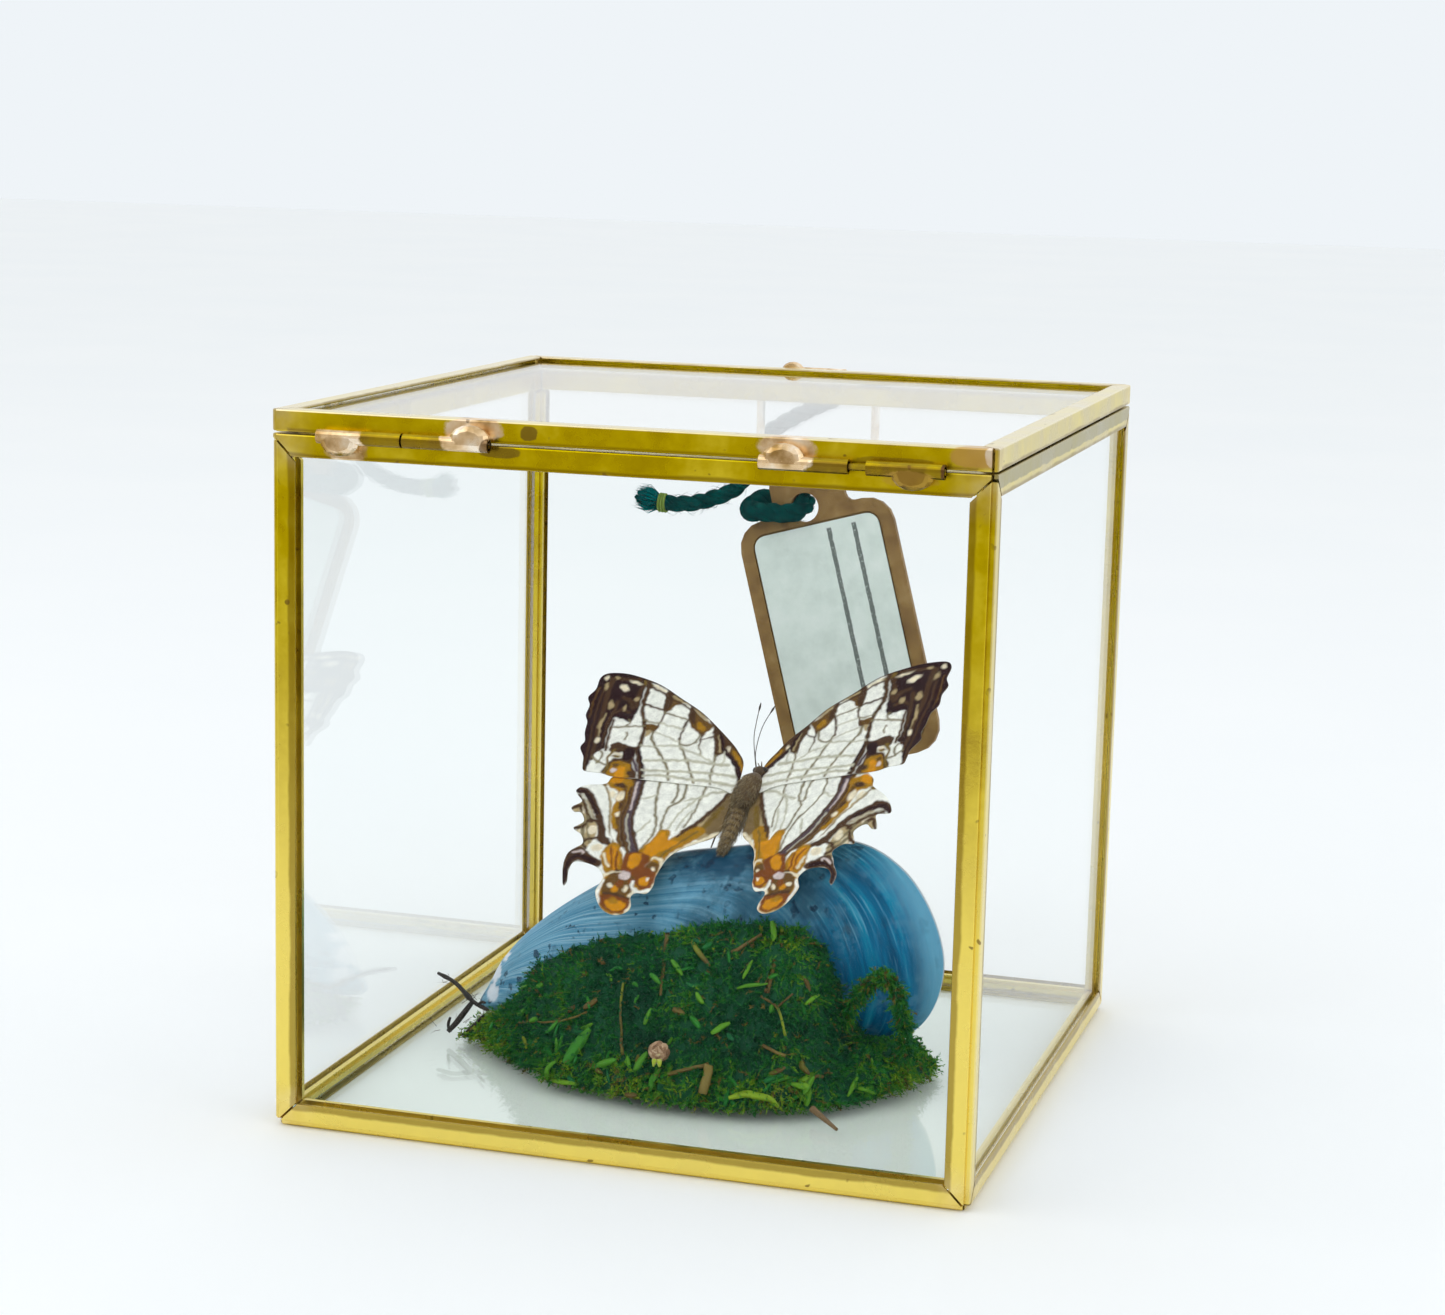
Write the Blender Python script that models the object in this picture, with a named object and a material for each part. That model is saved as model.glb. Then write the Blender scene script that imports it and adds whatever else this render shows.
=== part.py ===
"""Butterfly specimen in a hinged brass-framed glass box.

A square box of glass panes held in brass channel, with a hinged glass lid.
A mussel valve stands in a mound of moss on the floor pane, a butterfly is
perched on the valve's upper edge, and a paper tag hangs outside on twine.

Units are metres, written as millimetres times MM. The origin is the middle
of the base, +Z up, and the hinges are on the -Y side.
"""
import math
import random

import bmesh
import bpy
from mathutils import Euler, Matrix, Vector

MM = 0.001

# Case
SIDE = 100.0 * MM               # outer width and depth
BODY_TOP = 97.7 * MM            # top of the box body
LID_BASE = 98.0 * MM            # underside of the lid rim
LID_TOP = 101.0 * MM            # top of the lid rim
GAP = 0.3 * MM                  # space left between touching pieces

# Brass channel
CHANNEL_DEPTH = 3.0 * MM        # across the pane
STRIP = 2.7 * MM                # face width along the pane
NOTCH = 0.8 * MM                # open groove where two channels meet at an edge
TOP_STRIP = 3.1 * MM            # face height of the body's top rails
OUTER_WALL = 0.35 * MM
SLOT_WIDTH = 1.9 * MM
SLOT_FLOOR = 2.45 * MM          # slot bottom, from the outer face at a corner
TOP_SLOT_FLOOR = 1.65 * MM      # slot bottom in the top rails
LID_SLOT_FLOOR = 1.35 * MM      # slot bottom in the lid rails
EDGE_ROUND = 0.22 * MM
EDGE_STEPS = 2

# Glass
PANE = 1.3 * MM
PANE_INSET = OUTER_WALL + GAP   # outer face of a pane below the outer face of the brass

# Hinges: tube knuckles on a wire pin along the seam
HINGE_Y = -51.4 * MM
HINGE_Z = 97.85 * MM
TUBE_RADIUS = 1.0 * MM
TUBE_BORE = 0.75 * MM
PIN_RADIUS = 0.45 * MM
TUBE_SIDES = 16
SOLDER_RADII = Vector((2.9, 1.35, 2.1)) * MM    # bead of solder on a hinge tube
SOLDER_OFFSET = 0.5 * MM
# name, box knuckle from and to, lid knuckle from and to, solder middle on each
HINGES = (
    ("hinge_left", (-42.4, -30.3), (-30.0, -17.9), -39.2, -20.6),
    ("hinge_right", (33.4, 43.6), (19.2, 31.0), 39.4, 22.4),
)

# Lid pull on the latch side: a short tube with a bead of solder
PULL_FROM = -6.6 * MM
PULL_TO = 3.6 * MM
PULL_RADIUS = 0.8 * MM
PULL_Y = 51.1 * MM
PULL_Z = 100.3 * MM
PULL_BEAD_X = -5.2 * MM
PULL_BEAD_RADII = Vector((1.8, 1.3, 1.3)) * MM

# Wire loop on the latch side
LOOP_LEFT = -10.6 * MM
LOOP_RIGHT = 8.6 * MM
LOOP_TOP = 96.6 * MM
LOOP_BOTTOM = 85.0 * MM
LOOP_Y = 51.7 * MM
LOOP_WIRE = 0.7 * MM
LOOP_BEND = 2.4 * MM
LOOP_BEAD_RADII = Vector((1.5, 1.3, 1.2)) * MM

# Tag
TAG_HOLE = Vector((-3.2, 53.8, 78.0)) * MM   # middle of the hole
TAG_TILT = math.radians(16)                  # leans to one side as it hangs
TAG_PITCH = math.radians(5)                  # lower end rests towards the glass
TAG_HALF_WIDTH = 13.3 * MM
TAG_TOP = -0.6 * MM                          # body's upper edge, below the hole
TAG_BOTTOM = -43.0 * MM
TAG_CORNER = 4.5 * MM
TAG_MIDDLE = 1.0 * MM                        # body's middle line beside the hole
TAG_NECK_HALF = 6.2 * MM
TAG_NECK_TOP = 7.2 * MM
TAG_NECK_CORNER = 3.0 * MM
TAG_THICK = 1.2 * MM
TAG_HOLE_RADIUS = 2.4 * MM
TAG_BORDER = 2.2 * MM
TAG_RECESS = 0.5 * MM
LABEL_THICK = 0.3 * MM

# Twine
TWINE_RADIUS = 1.4 * MM
TWINE_ROUTE = (
    (-32.0, 53.0, 78.2), (-27.5, 53.0, 77.4), (-22.5, 53.2, 77.6), (-18.6, 53.5, 78.7),
    (-15.5, 54.0, 80.2), (-13.6, 54.6, 82.6), (-12.4, 54.9, 85.8), (-9.4, 54.8, 89.2),
    (-3.6, 54.5, 92.6), (3.6, 54.4, 96.0),
)
TWINE_STEP = 2.4 * MM
RING_LEFT = -12.6 * MM
RING_HALF_DEPTH = 2.35 * MM
HITCH = Vector((7.6, 54.3, 97.0)) * MM
HITCH_RADII = Vector((2.6, 1.5, 2.0)) * MM

# Mussel valve, in its own plane facing -Y
VALVE_Y = 1.0 * MM
VALVE_MIDDLE = (-3.0, 18.5)
VALVE_HEIGHT = 10.0 * MM
VALVE_EDGE = 0.8 * MM
VALVE_EXTRA = 0.5 * MM
VALVE_OUTLINE = (
    (-38.4, 4.7), (-37.0, 8.2), (-34.4, 13.0), (-28.6, 19.2), (-19.4, 25.8), (-9.0, 31.2),
    (1.2, 33.5), (11.0, 35.2), (20.6, 36.0), (27.6, 32.6), (32.2, 26.4), (34.4, 18.6),
    (32.6, 11.0), (27.8, 6.6), (20.0, 4.6), (6.0, 4.1), (-10.0, 4.1), (-24.0, 3.9), (-34.0, 3.7),
)
FLAT_BULGE = 0.0005 * MM        # keeps the seat's flat back from being exactly flat
VALVE_RINGS = 7
VALVE_POINTS = 38

# Moss mound
MOSS_BASE = 2.25 * MM
MOSS_STATIONS = 31
MOSS_SPAN = (-37.0, 33.4)
# distance along the mound: front foot, ridge height and back foot, in millimetres
MOSS_FOOT = ((-37.0, -8.5), (-28.4, -16.4), (-17.8, -24.9), (-5.0, -28.6), (8.0, -28.4),
             (15.6, -26.9), (21.6, -23.4), (27.0, -18.8), (30.0, -12.6), (33.4, -4.0))
MOSS_RIDGE = ((-37.0, 3.4), (-28.2, 10.2), (-26.2, 15.2), (-21.4, 17.6), (-13.0, 20.6),
              (0.0, 24.0), (8.8, 25.4), (14.8, 25.4), (19.2, 22.0), (21.4, 15.6), (23.6, 9.2),
              (30.6, 7.4), (33.4, 4.0))
MOSS_BACK = ((-37.0, -2.0), (-28.0, 8.0), (0.0, 13.5), (22.0, 12.0), (33.4, 2.0))
MOSS_RIDGE_Y = -11.0
MOSS_ROUGH = 0.55 * MM

# Butterfly: its own frame has X to its right, Y to the head and Z off the back
THORAX = Vector((1.7, 8.0, 41.7)) * MM
BUTTERFLY_TURN = Euler((math.radians(37), math.radians(-9.4), math.radians(-2)), "YXZ")
DIHEDRAL = math.radians(9.4)
WING_THICK = 0.3 * MM
HIND_DROP = 0.65 * MM
WING_ROOT = 1.9 * MM
FOREWING = (
    (1.0, 3.4), (2.6, 6.0), (4.6, 8.0), (7.0, 10.2), (9.5, 12.2), (12.0, 13.9), (15.0, 15.7),
    (18.0, 17.4), (21.0, 18.7), (24.0, 19.6), (26.2, 19.8), (28.3, 19.5), (29.2, 18.4), (29.1, 16.0),
    (29.8, 14.2), (29.1, 12.6), (29.1, 10.6), (28.3, 9.0), (28.0, 6.8), (27.5, 5.2), (27.8, 3.8),
    (26.6, 1.8), (26.2, 0.2), (25.6, -0.8), (22.8, -1.0), (20.0, -1.6), (12.0, -1.8), (4.0, -1.6),
    (1.0, -2.0),
)
HINDWING = (
    (1.0, 0.6), (8.0, 1.2), (16.0, 0.8), (20.5, -1.2), (21.4, -3.0), (24.3, -3.5), (25.6, -4.5),
    (25.4, -5.4), (24.1, -6.8), (25.4, -8.0), (24.8, -8.8), (23.6, -8.9), (22.5, -10.8), (23.7, -12.2),
    (22.2, -13.2), (21.4, -14.9), (22.7, -16.3), (23.1, -17.6), (22.9, -20.0), (21.9, -23.0),
    (21.5, -22.4), (21.9, -20.2), (21.3, -18.5), (18.0, -19.0), (16.3, -20.6), (16.2, -22.0),
    (16.4, -23.8), (15.4, -25.8), (13.8, -27.2), (12.0, -27.6), (10.6, -26.8), (10.3, -25.6),
    (10.8, -24.0), (10.2, -23.2), (8.6, -23.0), (8.0, -21.4), (8.2, -19.6), (7.6, -16.4), (6.0, -14.2),
    (3.8, -12.6), (1.2, -10.4), (1.0, -7.0),
)
# The right wings are set a little differently from the left ones
RIGHT_FORE_LEAN = 0.177         # sideways lean for each step towards the head
RIGHT_FORE_LEAN_FROM = 6.5      # millimetres along the body where the lean is nought
# distance along the body and the right hindwing's shift away from it
RIGHT_HIND_SHIFTS = ((-27.6, -1.8), (-23.0, -1.4), (-16.5, -3.2), (-4.5, 0.9), (1.2, 0.9))
RIGHT_HIND_SAG = 5.6            # how much lower its outer point hangs
RIGHT_HIND_LIFT = 1.1           # how much higher its lobes end
WING_REACH = 25.0
HEAD = (0.7, 2.1, 0.2)
THORAX_MIDDLE = (0.2, -1.0, 0.0)
ABDOMEN = (-0.25, -8.1, -0.1)
ABDOMEN_LEAN = math.radians(-4)
LEG_TIPS = ((-6.2, 2.4, 32.6), (9.0, 2.4, 34.2), (-3.4, 4.4, 31.0), (6.6, 4.4, 31.6))
ANTENNA_TIPS = ((1.2, 15.0, 52.8), (3.3, 15.6, 52.4))

# Loose bits in the moss
TWIG_ROUTE = ((-44.6, -2.0, 9.7), (-40.8, -4.4, 9.2), (-36.7, -7.3, 7.5), (-33.5, -9.2, 7.0))
TWIG_FORK = ((-36.8, -7.3, 7.5), (-37.6, -8.6, 6.1), (-38.6, -9.8, 4.5), (-39.5, -10.6, 3.4))
BUD_PLACE = Vector((-0.4, -27.3, 9.8)) * MM
BUD_RADII = Vector((1.9, 1.2, 1.6)) * MM

COLOURS = {
    "brass": ((0.55, 0.42, 0.06), 0.28, 1.0),
    "glass": ((0.90, 0.95, 0.95), 0.03, 0.0),
    "tag_frame": ((0.28, 0.17, 0.05), 0.45, 0.2),
    "label": ((0.72, 0.76, 0.72), 0.85, 0.0),
    "twine": ((0.01, 0.20, 0.20), 0.95, 0.0),
    "mussel": ((0.06, 0.20, 0.36), 0.35, 0.0),
    "moss": ((0.04, 0.14, 0.02), 1.0, 0.0),
    "wing": ((0.80, 0.79, 0.72), 0.7, 0.0),
    "insect_body": ((0.18, 0.11, 0.05), 0.9, 0.0),
    "twig": ((0.06, 0.05, 0.04), 0.9, 0.0),
    "bud": ((0.45, 0.27, 0.24), 0.85, 0.0),
}

# Each face of the case: its inward direction and its offset from the origin
FACES = {
    "left": (Vector((1, 0, 0)), SIDE / 2),
    "right": (Vector((-1, 0, 0)), SIDE / 2),
    "hinge_side": (Vector((0, 1, 0)), SIDE / 2),
    "latch_side": (Vector((0, -1, 0)), SIDE / 2),
    "base": (Vector((0, 0, 1)), 0.0),
    "body_top": (Vector((0, 0, -1)), BODY_TOP),
    "lid_top": (Vector((0, 0, -1)), LID_TOP),
}


def clear_scene():
    """Remove every object that the file holds."""
    for thing in list(bpy.data.objects):
        bpy.data.objects.remove(thing)


def material(name):
    """A Principled material in the named colour, made once."""
    found = bpy.data.materials.get(name)
    if found:
        return found
    colour, roughness, metallic = COLOURS[name]
    made = bpy.data.materials.new(name)
    made.use_nodes = True
    shader = made.node_tree.nodes["Principled BSDF"]
    shader.inputs["Base Color"].default_value = (*colour, 1.0)
    shader.inputs["Roughness"].default_value = roughness
    shader.inputs["Metallic"].default_value = metallic
    return made


def add_object(name, bm, look, smooth=False):
    """Turn a bmesh into a named object with its material."""
    bmesh.ops.recalc_face_normals(bm, faces=bm.faces)
    mesh = bpy.data.meshes.new(name)
    bm.to_mesh(mesh)
    bm.free()
    if smooth:
        mesh.shade_smooth()
        mesh.set_sharp_from_angle(angle=math.radians(40))
    mesh.materials.append(material(look))
    made = bpy.data.objects.new(name, mesh)
    bpy.context.scene.collection.objects.link(made)
    return made


def combine(target, tool, operation):
    """Join or cut target with tool, then delete the tool."""
    modifier = target.modifiers.new("Shape", "BOOLEAN")
    modifier.operation = operation
    modifier.solver = "EXACT"
    modifier.object = tool
    depsgraph = bpy.context.evaluated_depsgraph_get()
    mesh = bpy.data.meshes.new_from_object(target.evaluated_get(depsgraph))
    target.modifiers.clear()
    mesh.name = target.name
    target.data = mesh
    bpy.data.objects.remove(tool)
    return target


def keep_side(bm, normal, offset):
    """Cut a convex body where normal . point + offset is negative, and cap it."""
    point = normal * (-offset / normal.length_squared)
    geometry = bm.verts[:] + bm.edges[:] + bm.faces[:]
    bmesh.ops.bisect_plane(bm, geom=geometry, dist=1e-7, plane_co=point, plane_no=normal,
                           clear_inner=True)
    rim = [edge for edge in bm.edges if edge.is_boundary]
    if rim:
        bmesh.ops.holes_fill(bm, edges=rim)


def round_corner(corner, before, after, radius):
    """Points of a small arc in place of a square corner."""
    start = corner + (before - corner).normalized() * radius
    end = corner + (after - corner).normalized() * radius
    centre = start + end - corner
    points = []
    for step in range(EDGE_STEPS + 1):
        angle = math.pi / 2 * step / EDGE_STEPS
        points.append(centre + (corner - end) * math.cos(angle) + (corner - start) * math.sin(angle))
    return points


def outline_with_rounds(points, rounded):
    """Round the outline's corners whose indices are listed."""
    corners = [Vector(point) for point in points]
    result = []
    for index, corner in enumerate(corners):
        if index in rounded:
            following = corners[(index + 1) % len(corners)]
            result += round_corner(corner, corners[index - 1], following, EDGE_ROUND)
        else:
            result.append(corner)
    return result


def edge_section():
    """L-shaped section of two channels that meet along an edge of the case."""
    face_end = NOTCH + STRIP
    slot_end = OUTER_WALL + SLOT_WIDTH
    points = (
        (NOTCH, 0), (face_end, 0), (face_end, OUTER_WALL), (SLOT_FLOOR, OUTER_WALL),
        (SLOT_FLOOR, slot_end), (face_end, slot_end), (face_end, CHANNEL_DEPTH),
        (CHANNEL_DEPTH, CHANNEL_DEPTH), (CHANNEL_DEPTH, face_end), (slot_end, face_end),
        (slot_end, SLOT_FLOOR), (OUTER_WALL, SLOT_FLOOR), (OUTER_WALL, face_end),
        (0, face_end), (0, NOTCH), (NOTCH, NOTCH),
    )
    return outline_with_rounds(points, (0, 1, 13, 14))


def top_section():
    """Section of a body top rail, whose slot opens downwards."""
    slot_end = OUTER_WALL + SLOT_WIDTH
    points = (
        (0, 0), (CHANNEL_DEPTH, 0), (CHANNEL_DEPTH, TOP_STRIP), (slot_end, TOP_STRIP),
        (slot_end, TOP_SLOT_FLOOR), (OUTER_WALL, TOP_SLOT_FLOOR), (OUTER_WALL, TOP_STRIP),
        (0, TOP_STRIP),
    )
    return outline_with_rounds(points, (0, 1, 2, 7))


def lid_section():
    """Section of a lid rail, whose slot opens inwards."""
    rim_height = LID_TOP - LID_BASE
    slot_end = OUTER_WALL + SLOT_WIDTH
    points = (
        (0, 0), (STRIP, 0), (STRIP, OUTER_WALL), (LID_SLOT_FLOOR, OUTER_WALL),
        (LID_SLOT_FLOOR, slot_end), (STRIP, slot_end), (STRIP, rim_height), (0, rim_height),
    )
    return outline_with_rounds(points, (0, 1, 6, 7))


def brass_bar(name, faces, ends, section, mitred_to):
    """A straight bar of the section between two faces, mitred at both ends."""
    (first, first_offset), (second, second_offset) = FACES[faces[0]], FACES[faces[1]]
    axis = first.cross(second)
    reach = SIDE
    bm = bmesh.new()
    rings = []
    for along in (-reach, reach):
        ring = []
        for across_first, across_second in section:
            place = first * (across_first - first_offset)
            place += second * (across_second - second_offset)
            ring.append(bm.verts.new(place + axis * along))
        rings.append(ring)
    count = len(section)
    for index in range(count):
        following = (index + 1) % count
        bm.faces.new((rings[0][index], rings[0][following], rings[1][following], rings[1][index]))
    bm.faces.new(reversed(rings[0]))
    bm.faces.new(rings[1])
    bar = add_object(name, bm, "brass")
    envelope = bmesh.new()
    bmesh.ops.create_cube(envelope, size=4 * SIDE)
    mitre_space = GAP / math.sqrt(2)
    for end in ends:
        inward, offset = FACES[end]
        keep_side(envelope, inward, offset - NOTCH if "base" not in ends else offset)
        for face in mitred_to:
            other, other_offset = FACES[face]
            keep_side(envelope, inward - other, offset - other_offset - mitre_space)
    return combine(bar, add_object("envelope", envelope, "brass"), "INTERSECT")


def block(name, low, high, look):
    """An upright block between two corners."""
    bm = bmesh.new()
    bmesh.ops.create_cube(bm, size=1.0)
    size = high - low
    middle = (high + low) / 2
    bmesh.ops.scale(bm, vec=size, verts=bm.verts)
    bmesh.ops.translate(bm, vec=middle, verts=bm.verts)
    return add_object(name, bm, look)


def make_frame():
    """Corner posts, bottom rails, body top rails and lid rails."""
    sides = ("hinge_side", "latch_side")
    flanks = ("left", "right")
    for side in sides:
        for flank in flanks:
            brass_bar(f"post_{side}_{flank}", (side, flank), ("base", "body_top"),
                      edge_section(), (side, flank))
    for face in sides + flanks:
        ends = flanks if face in sides else sides
        brass_bar(f"bottom_rail_{face}", (face, "base"), ends, edge_section(), (face, "base"))
        brass_bar(f"top_rail_{face}", (face, "body_top"), ends, top_section(), (face, "body_top"))
        brass_bar(f"lid_rail_{face}", (face, "lid_top"), ends, lid_section(), (face,))


def make_panes():
    """Five fixed panes and the lid pane, seated in the slots."""
    edge = SIDE / 2 - SLOT_FLOOR - GAP
    outer = SIDE / 2 - PANE_INSET
    inner = outer - PANE
    bottom = SLOT_FLOOR + GAP
    top = BODY_TOP - TOP_SLOT_FLOOR - GAP
    block("pane_hinge_side", Vector((-edge, -outer, bottom)), Vector((edge, -inner, top)), "glass")
    block("pane_latch_side", Vector((-edge, inner, bottom)), Vector((edge, outer, top)), "glass")
    block("pane_left", Vector((-outer, -edge, bottom)), Vector((-inner, edge, top)), "glass")
    block("pane_right", Vector((inner, -edge, bottom)), Vector((outer, edge, top)), "glass")
    block("pane_floor", Vector((-edge, -edge, PANE_INSET)),
          Vector((edge, edge, PANE_INSET + PANE)), "glass")
    lid_edge = SIDE / 2 - LID_SLOT_FLOOR - GAP
    lid_face = LID_TOP - PANE_INSET
    block("pane_lid", Vector((-lid_edge, -lid_edge, lid_face - PANE)),
          Vector((lid_edge, lid_edge, lid_face)), "glass")


def rod(name, start, end, radius, look, sides=TUBE_SIDES):
    """A closed round rod from start to end."""
    bm = bmesh.new()
    direction = end - start
    turn = direction.to_track_quat("Z", "X").to_matrix().to_4x4()
    place = Matrix.Translation((start + end) / 2) @ turn
    bmesh.ops.create_cone(bm, cap_ends=True, segments=sides, radius1=radius, radius2=radius,
                          depth=direction.length, matrix=place)
    return add_object(name, bm, look, smooth=True)


def ellipsoid(name, middle, radii, look, segments=14, rings=8, turn=None):
    """A closed ellipsoid, turned if asked."""
    bm = bmesh.new()
    bmesh.ops.create_uvsphere(bm, u_segments=segments, v_segments=rings, radius=1.0)
    bmesh.ops.scale(bm, vec=radii, verts=bm.verts)
    if turn:
        bmesh.ops.rotate(bm, cent=(0, 0, 0), matrix=turn, verts=bm.verts)
    bmesh.ops.translate(bm, vec=middle, verts=bm.verts)
    return add_object(name, bm, look, smooth=True)


def trimmed_blob(name, middle, radii, cuts):
    """A bead of solder, flattened by planes given as direction and offset."""
    blob = ellipsoid(name, middle, radii, "brass")
    bm = bmesh.new()
    bm.from_mesh(blob.data)
    for direction, offset in cuts:
        keep_side(bm, direction, offset)
    bpy.data.objects.remove(blob)
    return add_object(name, bm, "brass", smooth=True)


def knuckle(name, span, solder_x, on_lid):
    """A hinge tube with its bead of solder, clear of the brass behind it."""
    start = Vector((span[0] * MM, HINGE_Y, HINGE_Z))
    end = Vector((span[1] * MM, HINGE_Y, HINGE_Z))
    upward = 1 if on_lid else -1
    clear_of_face = (Vector((0, -1, 0)), -SIDE / 2 - GAP)
    own_half = (Vector((0, 0, upward)), -upward * HINGE_Z)
    front_limit = (Vector((0, 1, 0)), TUBE_RADIUS - HINGE_Y)
    middle = Vector((solder_x * MM, HINGE_Y, HINGE_Z + upward * SOLDER_OFFSET))
    tube = rod(name, start, end, TUBE_RADIUS, "brass")
    blob = trimmed_blob(name + "_solder", middle, SOLDER_RADII,
                        (clear_of_face, own_half, front_limit))
    combine(tube, blob, "UNION")
    overrun = Vector((MM, 0, 0))
    bore = rod(name + "_bore", start - overrun, end + overrun, TUBE_BORE, "brass")
    return combine(tube, bore, "DIFFERENCE")


def make_hinges():
    """Two tube hinges, each with a knuckle on the box, one on the lid and a pin."""
    for name, box_span, lid_span, box_solder, lid_solder in HINGES:
        knuckle(name + "_box_knuckle", box_span, box_solder, on_lid=False)
        knuckle(name + "_lid_knuckle", lid_span, lid_solder, on_lid=True)
        first = min(box_span + lid_span) * MM
        last = max(box_span + lid_span) * MM
        rod(name + "_pin", Vector((first, HINGE_Y, HINGE_Z)), Vector((last, HINGE_Y, HINGE_Z)),
            PIN_RADIUS, "brass", sides=10)


def make_pull():
    """Short tube and solder bead on the lid's free edge."""
    tube = rod("lid_pull", Vector((PULL_FROM, PULL_Y, PULL_Z)), Vector((PULL_TO, PULL_Y, PULL_Z)),
               PULL_RADIUS, "brass", sides=12)
    clear_of_rail = (Vector((0, 1, 0)), -SIDE / 2 - GAP)
    bead = trimmed_blob("bead", Vector((PULL_BEAD_X, PULL_Y, PULL_Z + 0.3 * MM)),
                        PULL_BEAD_RADII, (clear_of_rail,))
    return combine(tube, bead, "UNION")


def smooth_route(points, step):
    """Evenly spaced points on a Catmull-Rom curve through the route."""
    knots = [Vector(point) * MM for point in points]
    padded = [2 * knots[0] - knots[1]] + knots + [2 * knots[-1] - knots[-2]]
    fine = []
    pieces = 24
    for index in range(1, len(padded) - 2):
        before, start, end, after = padded[index - 1:index + 3]
        for piece in range(pieces):
            part = piece / pieces
            linear = (end - before) * part
            square = (2 * before - 5 * start + 4 * end - after) * part ** 2
            cube = (3 * start - before - 3 * end + after) * part ** 3
            fine.append((2 * start + linear + square + cube) / 2)
    fine.append(knots[-1])
    distances = [0.0]
    for first, second in zip(fine, fine[1:]):
        distances.append(distances[-1] + (second - first).length)
    count = max(2, round(distances[-1] / step))
    result = []
    cursor = 0
    for index in range(count + 1):
        wanted = distances[-1] * index / count
        while cursor < len(fine) - 2 and distances[cursor + 1] < wanted:
            cursor += 1
        share = (wanted - distances[cursor]) / (distances[cursor + 1] - distances[cursor])
        result.append(fine[cursor].lerp(fine[cursor + 1], share))
    return result


def cord(name, points, radius, look, closed=False, resolution=2):
    """A plain tube along points, as a curve with a round bevel."""
    curve = bpy.data.curves.new(name, "CURVE")
    curve.dimensions = "3D"
    curve.bevel_depth = radius
    curve.bevel_resolution = resolution
    curve.use_fill_caps = not closed
    spline = curve.splines.new("POLY")
    spline.points.add(len(points) - 1)
    for slot, point in zip(spline.points, points):
        slot.co = (*point, 1.0)
    spline.use_cyclic_u = closed
    curve.materials.append(material(look))
    made = bpy.data.objects.new(name, curve)
    bpy.context.scene.collection.objects.link(made)
    return made


def as_mesh(thing):
    """Replace a curve object by a mesh object of the same name."""
    depsgraph = bpy.context.evaluated_depsgraph_get()
    mesh = bpy.data.meshes.new_from_object(thing.evaluated_get(depsgraph))
    bm = bmesh.new()
    bm.from_mesh(mesh)
    bmesh.ops.remove_doubles(bm, verts=bm.verts, dist=1e-6)
    look = thing.data.materials[0].name
    name = thing.name
    bpy.data.objects.remove(thing)
    return add_object(name, bm, look, smooth=True)


def make_loop():
    """Wire loop soldered to the latch-side rail by its two ends."""
    low = LOOP_BOTTOM + LOOP_BEND
    points = [Vector((LOOP_LEFT, LOOP_Y, LOOP_TOP))]
    corners = ((LOOP_LEFT + LOOP_BEND, math.pi), (LOOP_RIGHT - LOOP_BEND, math.pi * 1.5))
    steps = 5
    for middle_x, first_angle in corners:
        for step in range(steps + 1):
            angle = first_angle + math.pi / 2 * step / steps
            across = middle_x + LOOP_BEND * math.cos(angle)
            height = low + LOOP_BEND * math.sin(angle)
            points.append(Vector((across, LOOP_Y, height)))
    points.append(Vector((LOOP_RIGHT, LOOP_Y, LOOP_TOP)))
    loop = as_mesh(cord("tag_loop", points, LOOP_WIRE, "brass"))
    clear_of_rail = (Vector((0, 1, 0)), -SIDE / 2 - GAP)
    outer_limit = (Vector((0, -1, 0)), LOOP_Y + LOOP_WIRE)
    for across in (LOOP_LEFT, LOOP_RIGHT):
        middle = Vector((across, LOOP_Y - 0.3 * MM, LOOP_TOP - 0.4 * MM))
        bead = trimmed_blob("bead", middle, LOOP_BEAD_RADII, (clear_of_rail, outer_limit))
        combine(loop, bead, "UNION")
    return loop


def arc_points(middle_x, middle_y, radius, start, sweep, steps):
    """Points on a flat arc, in the order of the sweep."""
    points = []
    for step in range(steps + 1):
        angle = math.radians(start + sweep * step / steps)
        points.append((middle_x + radius * math.cos(angle), middle_y + radius * math.sin(angle)))
    return points


def tag_outline(inset):
    """Rounded body of the tag with its neck; the inset leaves the neck off."""
    half = TAG_HALF_WIDTH - inset
    corner = TAG_CORNER - inset
    low = TAG_BOTTOM + inset
    high = TAG_TOP - inset
    middle = TAG_MIDDLE
    steps = 4
    points = arc_points(middle + half - corner, low + corner, corner, -90, 90, steps)
    points += arc_points(middle + half - corner, high - corner, corner, 0, 90, steps)
    if inset == 0:
        neck = TAG_NECK_HALF
        bend = TAG_NECK_CORNER
        top = TAG_NECK_TOP
        fillet = 1.4 * MM
        points += arc_points(middle + neck + fillet, high + fillet, fillet, -90, -90, 3)
        points += arc_points(middle + neck - bend, top - bend, bend, 0, 90, steps)
        points += arc_points(middle - neck + bend, top - bend, bend, 90, 90, steps)
        points += arc_points(middle - neck - fillet, high + fillet, fillet, 0, -90, 3)
    points += arc_points(middle - half + corner, high - corner, corner, 90, 90, steps)
    points += arc_points(middle - half + corner, low + corner, corner, 180, 90, steps)
    return points


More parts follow.
